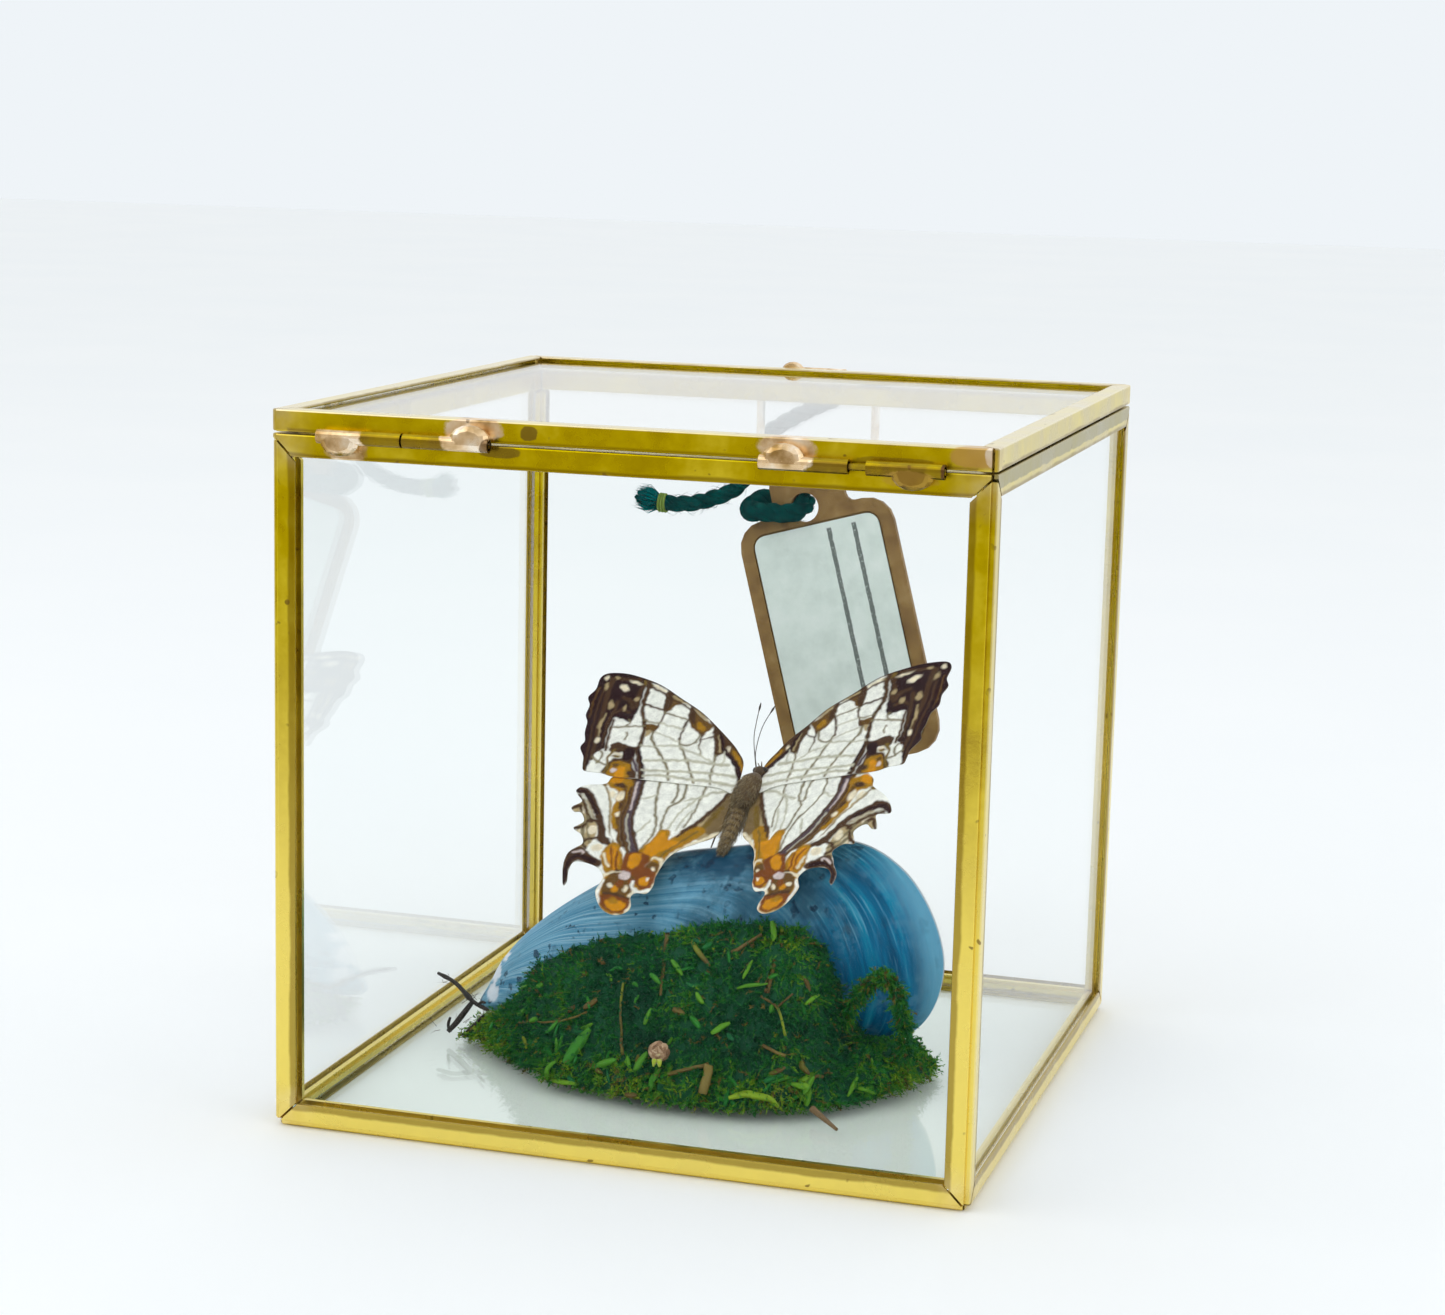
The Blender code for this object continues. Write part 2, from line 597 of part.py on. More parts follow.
def plate(name, outline, low, high, look, placement):
    """A flat plate of the outline between two heights, then placed."""
    bm = bmesh.new()
    bottom = [bm.verts.new((x, y, low)) for x, y in outline]
    bm.faces.new(bottom)
    pushed = bmesh.ops.extrude_face_region(bm, geom=bm.faces[:])
    lifted = [part for part in pushed["geom"] if isinstance(part, bmesh.types.BMVert)]
    bmesh.ops.translate(bm, vec=(0, 0, high - low), verts=lifted)
    bmesh.ops.triangulate(bm, faces=bm.faces)
    bmesh.ops.transform(bm, matrix=placement, verts=bm.verts)
    return add_object(name, bm, look)


def tag_placement():
    """The tag's frame: X across it, Y up it, Z towards the glass."""
    across = Vector((math.cos(TAG_TILT), 0, math.sin(TAG_TILT)))
    hanging = Vector((-math.sin(TAG_TILT), 0, math.cos(TAG_TILT)))
    up = hanging * math.cos(TAG_PITCH) + Vector((0, 1, 0)) * math.sin(TAG_PITCH)
    facing = across.cross(up)
    turn = Matrix((across, up, facing)).transposed().to_4x4()
    return Matrix.Translation(TAG_HOLE) @ turn


def make_tag():
    """A flat brown tag with a hole and a recessed paper label."""
    placement = tag_placement()
    half = TAG_THICK / 2
    frame = plate("tag_frame", tag_outline(0), -half, half, "tag_frame", placement)
    recess = plate("recess", tag_outline(TAG_BORDER), half - TAG_RECESS, half + MM, "label", placement)
    combine(frame, recess, "DIFFERENCE")
    hole = plate("hole", arc_points(0, 0, TAG_HOLE_RADIUS, 0, 345, 23), -2 * half, 2 * half,
                 "tag_frame", placement)
    combine(frame, hole, "DIFFERENCE")
    label_base = half - TAG_RECESS + GAP
    plate("tag_label", tag_outline(TAG_BORDER + GAP), label_base, label_base + LABEL_THICK,
          "label", placement)


def make_twine():
    """Twine from the loop to its frayed end, the ring through the tag and the hitch."""
    cord("twine", smooth_route(TWINE_ROUTE, TWINE_STEP), TWINE_RADIUS, "twine")
    ring_right = TAG_HOLE.x
    start_x = ring_right - RING_HALF_DEPTH
    end_x = RING_LEFT + RING_HALF_DEPTH
    flat = arc_points(start_x, TAG_HOLE.y, RING_HALF_DEPTH, -90, 180, 6)
    flat += arc_points(end_x, TAG_HOLE.y, RING_HALF_DEPTH, 90, 180, 6)
    points = [Vector((x, y, TAG_HOLE.z)) for x, y in flat]
    cord("twine_ring", points, TWINE_RADIUS, "twine", closed=True)
    ellipsoid("twine_hitch", HITCH, HITCH_RADII, "twine", segments=12, rings=8)


def closed_curve(points, count):
    """Evenly indexed points on a closed Catmull-Rom curve, in metres."""
    knots = [Vector(point) * MM for point in points]
    total = len(knots)
    result = []
    for index in range(count):
        place = index * total / count
        segment = int(place)
        part = place - segment
        before, start, end, after = (knots[(segment + shift) % total] for shift in (-1, 0, 1, 2))
        linear = (end - before) * part
        square = (2 * before - 5 * start + 4 * end - after) * part ** 2
        cube = (3 * start - before - 3 * end + after) * part ** 3
        result.append((2 * start + linear + square + cube) / 2)
    return result


def dome(share):
    """Height profile of the valve from its middle (0) to its edge (1)."""
    return max(0.0, 1.0 - share ** 2.3) ** 0.72


def valve_layers(grow):
    """Rings of (x, z) places and their dome share, from the edge inwards."""
    middle = Vector(VALVE_MIDDLE) * MM
    edge = closed_curve(VALVE_OUTLINE, VALVE_POINTS)
    layers = []
    for ring in range(VALVE_RINGS):
        share = math.cos(math.pi / 2 * ring / VALVE_RINGS)
        places = []
        for point in edge:
            outward = (point - middle).normalized() * grow
            places.append(middle + (point + outward - middle) * share)
        layers.append((places, dome(share)))
    return middle, layers


def surface(bm, layers, middle, height_of):
    """One face of the valve as rings of vertices closed by a middle point."""
    rings = []
    for places, rise in layers:
        rings.append([bm.verts.new((place.x, height_of(rise), place.y)) for place in places])
    count = len(rings[0])
    for outer, inner in zip(rings, rings[1:]):
        for index in range(count):
            following = (index + 1) % count
            bm.faces.new((outer[index], outer[following], inner[following], inner[index]))
    peak = bm.verts.new((middle.x, height_of(1.0), middle.y))
    for index in range(count):
        bm.faces.new((rings[-1][index], rings[-1][(index + 1) % count], peak))
    return rings[0]


def valve_solid(name, grow, outside, inside, look):
    """A closed solid between the valve's outer and inner surfaces."""
    bm = bmesh.new()
    middle, layers = valve_layers(grow)
    front = surface(bm, layers, middle, outside)
    back = surface(bm, layers, middle, inside)
    count = len(front)
    for index in range(count):
        following = (index + 1) % count
        bm.faces.new((front[index], front[following], back[following], back[index]))
    return add_object(name, bm, look, smooth=True)


def make_valve():
    """One valve of a mussel, its hollow side to +Y."""
    def outside(rise):
        return VALVE_Y - VALVE_EDGE - VALVE_HEIGHT * rise

    def inside(rise):
        return VALVE_Y - (VALVE_HEIGHT - VALVE_EXTRA) * rise

    return valve_solid("mussel_valve", 0.0, outside, inside, "mussel")


def read_profile(table, place):
    """Straight-line reading of a table of pairs."""
    for (first, low), (second, high) in zip(table, table[1:]):
        if place <= second:
            share = (place - first) / (second - first)
            return low + (high - low) * share
    return table[-1][1]


def moss_section(place):
    """Points (y, z) around the mound at one place along it, in millimetres."""
    foot = read_profile(MOSS_FOOT, place)
    ridge = read_profile(MOSS_RIDGE, place)
    back = read_profile(MOSS_BACK, place)
    base = MOSS_BASE / MM
    rise = ridge - base
    ridge_y = min(MOSS_RIDGE_Y, foot + 0.8 * (back - foot)) if foot < MOSS_RIDGE_Y else foot
    behind = base + min(9.0, 0.45 * rise)
    run = ridge_y - foot
    points = [(foot, base)]
    for along, up in ((0.04, 0.12), (0.22, 0.40), (0.48, 0.68), (0.74, 0.90), (1.0, 1.0)):
        points.append((foot + run * along, base + rise * up))
    hollow = max(ridge_y, -0.4 + VALVE_Y / MM)
    points.append((hollow - 0.6, base + rise * 0.96))
    points.append((hollow + 0.6, behind + 0.6))
    points.append((hollow + 0.5 * (back - hollow), base + 0.8 * (behind - base)))
    points.append((hollow + 0.85 * (back - hollow), base + 0.4 * (behind - base)))
    points.append((back, base))
    points.append((0.5 * (foot + back), base))
    return points


def make_moss():
    """A rough mound of moss on the floor pane, with a seat for the valve."""
    shaker = random.Random(7)
    bm = bmesh.new()
    rings = []
    for station in range(MOSS_STATIONS):
        share = station / (MOSS_STATIONS - 1)
        place = MOSS_SPAN[0] + (MOSS_SPAN[1] - MOSS_SPAN[0]) * share
        ring = []
        for across, height in moss_section(place):
            vertex = Vector((place, across, height)) * MM
            if vertex.z > MOSS_BASE * 1.01:
                shake = Vector((shaker.uniform(-1, 1), shaker.uniform(-1, 1), shaker.uniform(-1, 1)))
                vertex += shake * MOSS_ROUGH
                vertex.z = max(vertex.z, MOSS_BASE)
            ring.append(bm.verts.new(vertex))
        rings.append(ring)
    count = len(rings[0])
    for first, second in zip(rings, rings[1:]):
        for index in range(count):
            following = (index + 1) % count
            bm.faces.new((first[index], first[following], second[following], second[index]))
    bm.faces.new(reversed(rings[0]))
    bm.faces.new(rings[-1])
    bmesh.ops.triangulate(bm, faces=bm.faces)
    moss = add_object("moss", bm, "moss")

    def outside(rise):
        return VALVE_Y - VALVE_EDGE - GAP - VALVE_HEIGHT * rise

    def flat_back(rise):
        return VALVE_Y + GAP + FLAT_BULGE * rise

    seat = valve_solid("valve_seat", GAP, outside, flat_back, "moss")
    return combine(moss, seat, "DIFFERENCE")


def butterfly_placement():
    """The butterfly's frame at its thorax."""
    return Matrix.Translation(THORAX) @ BUTTERFLY_TURN.to_matrix().to_4x4()


def lean_share(x):
    """How much of the right forewing's lean acts at a distance from the body."""
    rising = min(1.0, max(0.0, (x - 1.0) / 4.0))
    falling = min(1.0, max(0.0, (28.5 - x) / 9.0))
    return rising * falling


def right_forewing():
    """The forewing's outline as the right wing holds it."""
    points = []
    for x, y in FOREWING:
        shift = (RIGHT_FORE_LEAN_FROM - y) * RIGHT_FORE_LEAN
        points.append((x + shift * lean_share(x), y))
    return points


def right_hindwing():
    """The hindwing's outline as the right wing holds it."""
    points = []
    for x, y in HINDWING:
        reach = (x - 1.0) / WING_REACH
        across = read_profile(RIGHT_HIND_SHIFTS, y) * min(1.0, (x - 1.0) / 8.0)
        sag = RIGHT_HIND_SAG * reach ** 6 * min(1.0, max(0.0, (y + 23.0) / 6.0))
        lift = RIGHT_HIND_LIFT * min(1.0, max(0.0, (-18.0 - y) / 6.0)) * (1.0 - reach)
        points.append((x + across, y - sag + lift))
    return points


def wing(name, outline, side, drop):
    """A thin wing, raised by the dihedral; side is 1 for right, -1 for left."""
    root = WING_ROOT
    points = [(side * (root + (x - 1.0) * MM), y * MM) for x, y in outline]
    lift = Matrix.Rotation(-side * DIHEDRAL, 4, "Y")
    sink = Matrix.Translation(Vector((0, 0, -drop)))
    placement = butterfly_placement() @ sink @ lift
    return plate(name, points, -WING_THICK / 2, WING_THICK / 2, "wing", placement)


def tapered_rod(name, points, radii, look, sides=6):
    """A closed rod through points, with a radius at each."""
    bm = bmesh.new()
    rings = []
    for index, point in enumerate(points):
        ahead = points[min(index + 1, len(points) - 1)]
        behind = points[max(index - 1, 0)]
        turn = (ahead - behind).to_track_quat("Z", "X")
        ring = []
        for corner in range(sides):
            angle = 2 * math.pi * corner / sides
            spoke = Vector((math.cos(angle), math.sin(angle), 0)) * radii[index]
            ring.append(bm.verts.new(point + turn @ spoke))
        rings.append(ring)
    for first, second in zip(rings, rings[1:]):
        for corner in range(sides):
            following = (corner + 1) % sides
            bm.faces.new((first[corner], first[following], second[following], second[corner]))
    bm.faces.new(reversed(rings[0]))
    bm.faces.new(rings[-1])
    return add_object(name, bm, look, smooth=True)


def make_butterfly():
    """Body with head, legs and antennae, and four wings."""
    placement = butterfly_placement()

    def part(name, place, radii, lean=0.0):
        middle = placement @ (Vector(place) * MM)
        turn = BUTTERFLY_TURN.to_matrix() @ Matrix.Rotation(lean, 3, "Z")
        return ellipsoid(name, middle, Vector(radii) * MM, "insect_body",
                         segments=12, rings=8, turn=turn)

    body = part("butterfly_body", THORAX_MIDDLE, (1.4, 2.9, 1.5))
    combine(body, part("head", HEAD, (1.0, 1.05, 1.0)), "UNION")
    combine(body, part("abdomen", ABDOMEN, (1.15, 5.6, 1.15), ABDOMEN_LEAN), "UNION")
    chest = placement @ (Vector((0.1, -0.6, -1.0)) * MM)
    for index, tip in enumerate(LEG_TIPS):
        end = Vector(tip) * MM
        side = -1 if index % 2 == 0 else 1
        knee = chest.lerp(end, 0.45) + Vector((side * 1.6, 0.8, 0.6)) * MM
        leg = tapered_rod("leg", [chest, knee, end], [0.32 * MM, 0.24 * MM, 0.14 * MM],
                          "insect_body", sides=5)
        combine(body, leg, "UNION")
    for tip, side in zip(ANTENNA_TIPS, (-1, 1)):
        start = placement @ (Vector((HEAD[0] + side * 0.4, HEAD[1] + 0.5, HEAD[2] + 0.3)) * MM)
        end = Vector(tip) * MM
        bend = start.lerp(end, 0.55) + Vector((-0.8, -0.4, 0)) * MM
        neck = end.lerp(bend, 0.12)
        antenna = tapered_rod("antenna", [start, bend, neck, end],
                              [0.16 * MM, 0.14 * MM, 0.2 * MM, 0.26 * MM], "insect_body", sides=5)
        combine(body, antenna, "UNION")
    wing("forewing_left", FOREWING, -1, 0.0)
    wing("forewing_right", right_forewing(), 1, 0.0)
    wing("hindwing_left", HINDWING, -1, HIND_DROP)
    wing("hindwing_right", right_hindwing(), 1, HIND_DROP)


def make_litter():
    """A dark forked twig and a dry bud lying on the moss."""
    main = [Vector(point) * MM for point in TWIG_ROUTE]
    fork = [Vector(point) * MM for point in TWIG_FORK]
    twig = tapered_rod("twig", main, [0.28 * MM, 0.33 * MM, 0.40 * MM, 0.38 * MM], "twig")
    branch = tapered_rod("branch", fork, [0.36 * MM, 0.48 * MM, 0.50 * MM, 0.30 * MM], "twig")
    combine(twig, branch, "UNION")
    ellipsoid("bud", BUD_PLACE, BUD_RADII, "bud", segments=10, rings=6)


def build():
    """Make every piece of the box and its specimen."""
    clear_scene()
    make_frame()
    make_panes()
    make_hinges()
    make_pull()
    make_loop()
    make_tag()
    make_twine()
    make_valve()
    make_moss()
    make_butterfly()
    make_litter()


build()
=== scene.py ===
"""Looks of the butterfly specimen in a hinged brass and glass box.

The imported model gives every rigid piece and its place. This script gives the
brass, glass and tag their finish, and replaces the twine, moss, valve,
butterfly and loose bits by finely modelled pieces. Units are metres, written
as millimetres times MM.
"""
import math
import random

import bmesh
import bpy
import numpy as np
from mathutils import Euler, Matrix, Vector, noise
from mathutils.bvhtree import BVHTree
from mathutils.geometry import delaunay_2d_cdt


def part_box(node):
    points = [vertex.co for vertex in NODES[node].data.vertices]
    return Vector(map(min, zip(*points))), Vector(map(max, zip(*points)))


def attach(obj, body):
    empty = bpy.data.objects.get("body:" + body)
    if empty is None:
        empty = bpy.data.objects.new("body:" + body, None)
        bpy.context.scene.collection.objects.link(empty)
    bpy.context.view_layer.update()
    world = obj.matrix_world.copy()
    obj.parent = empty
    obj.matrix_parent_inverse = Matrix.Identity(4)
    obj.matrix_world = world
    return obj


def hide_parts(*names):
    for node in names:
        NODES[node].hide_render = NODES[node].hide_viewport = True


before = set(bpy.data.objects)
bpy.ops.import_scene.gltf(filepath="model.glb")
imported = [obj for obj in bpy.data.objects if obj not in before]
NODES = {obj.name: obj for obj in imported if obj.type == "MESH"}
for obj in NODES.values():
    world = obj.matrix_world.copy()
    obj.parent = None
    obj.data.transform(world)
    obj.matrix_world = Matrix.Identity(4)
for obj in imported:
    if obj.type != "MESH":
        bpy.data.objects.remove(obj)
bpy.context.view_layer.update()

MM = 0.001
FULL_TURN = 2 * math.pi

# Case, as the model has it
HALF_SIDE = 50.0 * MM
BODY_TOP = 97.7 * MM
LID_TOP = 101.0 * MM

# Camera
CAMERA_PLACE = Vector((0.12786, -0.42652, 0.14358))
CAMERA_YAW = -0.2926
CAMERA_PITCH = 0.1807
CAMERA_ROLL = 0.0233
LENS = 76.29
SENSOR = 36.0

# Room
FLOOR_FRONT = -0.30           # nearer floor is a piece of its own, unseen in the glass
FLOOR_REACH = 3.0
FLOOR_DROP = 0.05 * MM
PALE_BACKDROP = (0.863, 0.905, 0.939)
DIFFUSE_SHARE = 0.90          # of the room's light that falls on rough surfaces
LAMPS = (("key", (-0.55, -0.45, 0.75), 0.8, 1.6), ("fill", (0.75, -0.25, 0.55), 0.6, 1.0))
LAMP_TARGET = (0, 0, 0.04)


# ---------------------------------------------------------------- shader nodes

class Value:
    """One output of a shader node; arithmetic on it is made as further nodes."""

    def __init__(self, look, socket):
        self.look = look
        self.socket = socket

    def __add__(self, other):
        return self.look.math("ADD", self, other)

    def __sub__(self, other):
        return self.look.math("SUBTRACT", self, other)

    def __rsub__(self, other):
        return self.look.math("SUBTRACT", other, self)

    def __mul__(self, other):
        return self.look.math("MULTIPLY", self, other)

    def __truediv__(self, other):
        return self.look.math("DIVIDE", self, other)

    def __pow__(self, other):
        return self.look.math("POWER", self, other)

    def __abs__(self):
        return self.look.math("ABSOLUTE", self)


class Look:
    """A small writer of shader nodes for one material or for the world."""

    def __init__(self, tree):
        self.tree = tree
        self.coords = {}

    def node(self, kind, settings=(), **inputs):
        """A node of the kind, with its settings and its named inputs."""
        made = self.tree.nodes.new("ShaderNode" + kind)
        for key, value in settings:
            setattr(made, key, value)
        for key, value in inputs.items():
            self.feed(made.inputs[key.replace("_", " ")], value)
        return made

    def feed(self, socket, value):
        """Link a value to an input, or set the input to a number or colour."""
        if isinstance(value, Value):
            self.tree.links.new(value.socket, socket)
        elif hasattr(value, "__len__") and len(value) == 3 and socket.type == "RGBA":
            socket.default_value = (*value, 1.0)
        else:
            socket.default_value = value

    def out(self, made, name=0):
        """One output of a node."""
        return Value(self, made.outputs[name])

    def math(self, operation, *values, clamp=False):
        """A sum, product or the like of numbers and values."""
        made = self.node("Math", (("operation", operation), ("use_clamp", clamp)))
        for socket, value in zip(made.inputs, values):
            self.feed(socket, value)
        return self.out(made)

    def least(self, *values):
        """The smaller of two values."""
        return self.math("MINIMUM", *values)

    def most(self, *values):
        """The larger of two values."""
        return self.math("MAXIMUM", *values)

    def place(self, kind="Object"):
        """Texture coordinates of the kind, made once."""
        if kind not in self.coords:
            self.coords[kind] = self.out(self.node("TexCoord"), kind)
        return self.coords[kind]

    def parts(self, vector):
        """The three coordinates of a vector."""
        return [Value(self, socket) for socket in self.node("SeparateXYZ", Vector=vector).outputs]

    def joined(self, x, y, z):
        """A vector from three coordinates."""
        return self.out(self.node("CombineXYZ", X=x, Y=y, Z=z))

    def noise(self, scale, detail=2.0, vector=None, roughness=0.5):
        """Cloudy noise from 0 to 1, by object coordinates unless told otherwise."""
        return self.out(self.node("TexNoise", Scale=scale, Detail=detail, Roughness=roughness,
                                  Vector=vector or self.place()), "Fac")

    def stretched(self, scale):
        """Object coordinates, each multiplied by its own scale."""
        made = self.node("VectorMath", (("operation", "MULTIPLY"),))
        self.feed(made.inputs[0], self.place())
        made.inputs[1].default_value = scale
        return self.out(made)

    def step(self, value, low, high, to_low=0.0, to_high=1.0):
        """Smooth step from low to high."""
        return self.out(self.node("MapRange", (("interpolation_type", "SMOOTHSTEP"),), Value=value,
                                  To_Min=to_low, To_Max=to_high, From_Min=low, From_Max=high))

    def ramp(self, factor, *stops):
        """Colour ramp from pairs of position and colour."""
        made = self.node("ValToRGB", Fac=factor)
        elements = made.color_ramp.elements
        while len(elements) < len(stops):
            elements.new(0.5)
        for element, (position, colour) in zip(elements, stops):
            element.position = position
            element.color = (*colour, 1.0)
        return self.out(made, "Color")

    def mix(self, factor, first, second, blend="MIX"):
        """Two colours mixed by a factor."""
        made = self.node("Mix", (("data_type", "RGBA"), ("blend_type", blend)))
        for name, value in (("Factor", factor), ("A", first), ("B", second)):
            self.feed(made.inputs[name], value)
        return self.out(made, "Result")

    def bump(self, height, strength, distance):
        """A normal that follows a height."""
        return self.out(self.node("Bump", Height=height, Strength=strength, Distance=distance), "Normal")

    def attribute(self, name, output="Fac"):
        """A value or colour kept on the mesh."""
        return self.out(self.node("Attribute", (("attribute_name", name),)), output)


def new_look(name):
    """A material with a Principled shader, and the writer of its nodes."""
    made = bpy.data.materials.new(name)
    made.use_nodes = True
    return made, Look(made.node_tree), made.node_tree.nodes["Principled BSDF"]


def settle(look, shader, **inputs):
    """Set or link the named sockets of a Principled shader."""
    for key, value in inputs.items():
        look.feed(shader.inputs[key.replace("_", " ")], value)


def dress(names, material):
    """Give CAD nodes a material."""
    for name in names:
        slots = NODES[name].material_slots
        if not slots:
            NODES[name].data.materials.append(material)
        else:
            slots[0].material = material


# ---------------------------------------------------------------- mesh tools

def in_scene(name, data):
    """An object for its data, put in the scene."""
    made = bpy.data.objects.new(name, data)
    bpy.context.scene.collection.objects.link(made)
    return made


def new_piece(name, points, faces, material, smooth=True, **values):
    """A mesh object with a material and named values on its points."""
    mesh = bpy.data.meshes.new(name)
    mesh.from_pydata(points, [], faces)
    mesh.materials.append(material)
    for key, numbers in values.items():
        mesh.attributes.new(key, "FLOAT", "POINT").data.foreach_set("value", numbers)
    if smooth:
        mesh.shade_smooth()
    return in_scene(name, mesh)


def bind(piece, node):
    """Let a piece ride on the box, in place of a node, which it hides."""
    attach(piece, "box")
    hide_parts(node)


class Sheaf:
    """Collects faces of many small shapes and turns them into one mesh object."""

    def __init__(self):
        self.points = []
        self.faces = []
        self.tones = []

    def add(self, points, faces, tone=0.0):
        base = len(self.points)
        self.points.extend(points)
        self.faces.extend(tuple(base + index for index in face) for face in faces)
        self.tones.extend(tone if isinstance(tone, list) else [tone] * len(points))

    def make(self, name, material, smooth=True):
        return new_piece(name, self.points, self.faces, material, smooth, tone=self.tones)


def clipped(share):
    """A share kept from 0 to 1."""
    return min(1.0, max(0.0, share))


def in_metres(points):
    """Places in millimetres as vectors in metres."""
    return [Vector(point) * MM for point in points]


def curve_through(knots, pieces, closed=False):
    """Points on a Catmull-Rom curve through the knots."""
    if closed:
        padded = [knots[-1], *knots, *knots[:2]]
    else:
        padded = [2 * knots[0] - knots[1], *knots, 2 * knots[-1] - knots[-2]]
    result = []
    for index in range(1, len(padded) - 2):
        before, start, end, after = padded[index - 1:index + 3]
        for piece in range(pieces):
            part = piece / pieces
            linear = (end - before) * part
            square = (2 * before - 5 * start + 4 * end - after) * part ** 2
            cube = (3 * start - before - 3 * end + after) * part ** 3
            result.append((2 * start + linear + square + cube) / 2)
    if not closed:
        result.append(knots[-1])
    return result


def rounded(knots, closed, pieces=6):
    """A flat curve through the knots, as rows."""
    return np.array(curve_through(list(np.array(knots, float)), pieces, closed))


def respace(fine, step):
    """Points at even distances along a polyline."""
    distances = [0.0]
    for first, second in zip(fine, fine[1:]):
        distances.append(distances[-1] + (second - first).length)
    count = max(2, round(distances[-1] / step))
    result = []
    cursor = 0
    for index in range(count + 1):
        wanted = distances[-1] * index / count
        while cursor < len(fine) - 2 and distances[cursor + 1] < wanted:
            cursor += 1
        share = (wanted - distances[cursor]) / (distances[cursor + 1] - distances[cursor])
        result.append(fine[cursor].lerp(fine[cursor + 1], share))
    return result


def smooth_line(points, step):
    """Evenly spaced points on a curve through the points."""
    return respace(curve_through([Vector(point) for point in points], 24), step)


def frames_along(line):
    """Two directions across the line at each point, turning as little as they can."""
    across = (line[1] - line[0]).orthogonal().normalized()
    result = []
    for index in range(len(line)):
        ahead = line[min(index + 1, len(line) - 1)]
        behind = line[max(index - 1, 0)]
        along = (ahead - behind).normalized()
        across = (across - along * across.dot(along)).normalized()
        result.append((across.copy(), along.cross(across)))
    return result


def around(pair, angle):
    """The direction at an angle between two directions across a line."""
    return pair[0] * math.cos(angle) + pair[1] * math.sin(angle)


def band_faces(rings, sides):
    """Faces of the bands between rings of points."""
    faces = []
    for ring in range(rings - 1):
        low = ring * sides
        for corner in range(sides):
            following = (corner + 1) % sides
            faces.append((low + corner, low + following, low + sides + following, low + sides + corner))
    return faces


def add_tube(sheaf, line, radii, sides, tone=0.0):
    """A closed tube along a line, with a radius at each point."""
    points = []
    for pair, point, radius in zip(frames_along(line), line, radii):
        points += [point + around(pair, FULL_TURN * corner / sides) * radius for corner in range(sides)]
    last = (len(line) - 1) * sides
    ends = [tuple(reversed(range(sides))), tuple(range(last, last + sides))]
    sheaf.add(points, band_faces(len(line), sides) + ends, tone)


def add_hair(sheaf, root, tip, width, bend, tone=0.0):
    """A fine three-sided hair from root to tip."""
    middle = root.lerp(tip, 0.5) + bend
    way = (tip - root).normalized()
    across = way.orthogonal().normalized() * width
    other = way.cross(across)
    third = -(across + other) * 0.7
    points = [root + across, root + other, root + third,
              middle + across * 0.7, middle + other * 0.7, middle + third * 0.7, tip]
    faces = [(0, 2, 1), (0, 1, 4, 3), (1, 2, 5, 4), (2, 0, 3, 5), (3, 4, 6), (4, 5, 6), (5, 3, 6)]
    sheaf.add(points, faces, tone)


# ---------------------------------------------------------------- camera, floor and light

def make_camera():
    """The photograph's camera."""
    forward = Vector((math.sin(CAMERA_YAW) * math.cos(CAMERA_PITCH),
                      math.cos(CAMERA_YAW) * math.cos(CAMERA_PITCH), -math.sin(CAMERA_PITCH)))
    level = Vector((math.cos(CAMERA_YAW), -math.sin(CAMERA_YAW), 0))
    upward = level.cross(forward)
    right = level * math.cos(CAMERA_ROLL) + upward * math.sin(CAMERA_ROLL)
    up = upward * math.cos(CAMERA_ROLL) - level * math.sin(CAMERA_ROLL)
    data = bpy.data.cameras.new("camera")
    data.lens = LENS
    data.sensor_fit = "HORIZONTAL"
    data.sensor_width = SENSOR
    data.clip_start = 0.01
    camera = in_scene("camera", data)
    turn = Matrix((right, up, -forward)).transposed().to_4x4()
    camera.matrix_world = Matrix.Translation(CAMERA_PLACE) @ turn
    bpy.context.scene.camera = camera


def make_floor():
    """A plain pale floor in two pieces."""
    made, look, shader = new_look("floor")
    settle(look, shader, Roughness=0.75,
           Base_Color=look.ramp(look.noise(9.0, 3.0), (0.3, (0.94, 0.97, 0.99)), (0.7, (0.96, 0.985, 1.0))))
    for name, front, back in (("floor", FLOOR_FRONT, FLOOR_REACH), ("near_floor", -FLOOR_REACH, FLOOR_FRONT)):
        corners = ((-FLOOR_REACH, front), (FLOOR_REACH, front), (FLOOR_REACH, back), (-FLOOR_REACH, back))
        points = [(x, y, -FLOOR_DROP) for x, y in corners]
        floor = new_piece(name, points, [(0, 1, 2, 3)], made, smooth=False)
        floor.visible_glossy = name == "floor"


def make_room():
    """A pale room, darker low down behind the camera, and two soft lamps."""
    world = bpy.data.worlds.new("room")
    bpy.context.scene.world = world
    world.use_nodes = True
    look = Look(world.node_tree)
    _, ahead, above = look.parts(look.place("Generated"))
    shade = look.step(ahead, 0.15, -0.45) * look.step(above, 0.42, 0.12)
    room = look.mix(shade, (0.97, 0.99, 1.0), (0.58, 0.55, 0.49))
    path = look.node("LightPath")
    plain = look.most(look.out(path, "Is Camera Ray"), look.out(path, "Is Transmission Ray"))
    dimmed = look.out(path, "Is Diffuse Ray") * (1.0 - DIFFUSE_SHARE)
    background = world.node_tree.nodes["Background"]
    look.feed(background.inputs["Color"], look.mix(plain, room, PALE_BACKDROP))
    look.feed(background.inputs["Strength"], 1.0 - dimmed)

    for name, place, size, power in LAMPS:
        data = bpy.data.lights.new(name, "AREA")
        data.size = size
        data.energy = power
        lamp = in_scene(name, data)
        lamp.location = place
        lamp.rotation_euler = (Vector(LAMP_TARGET) - Vector(place)).to_track_quat("-Z", "Y").to_euler()

    view = bpy.context.scene.view_settings
    view.view_transform = "Standard"
    view.look = "None"


# ---------------------------------------------------------------- twine

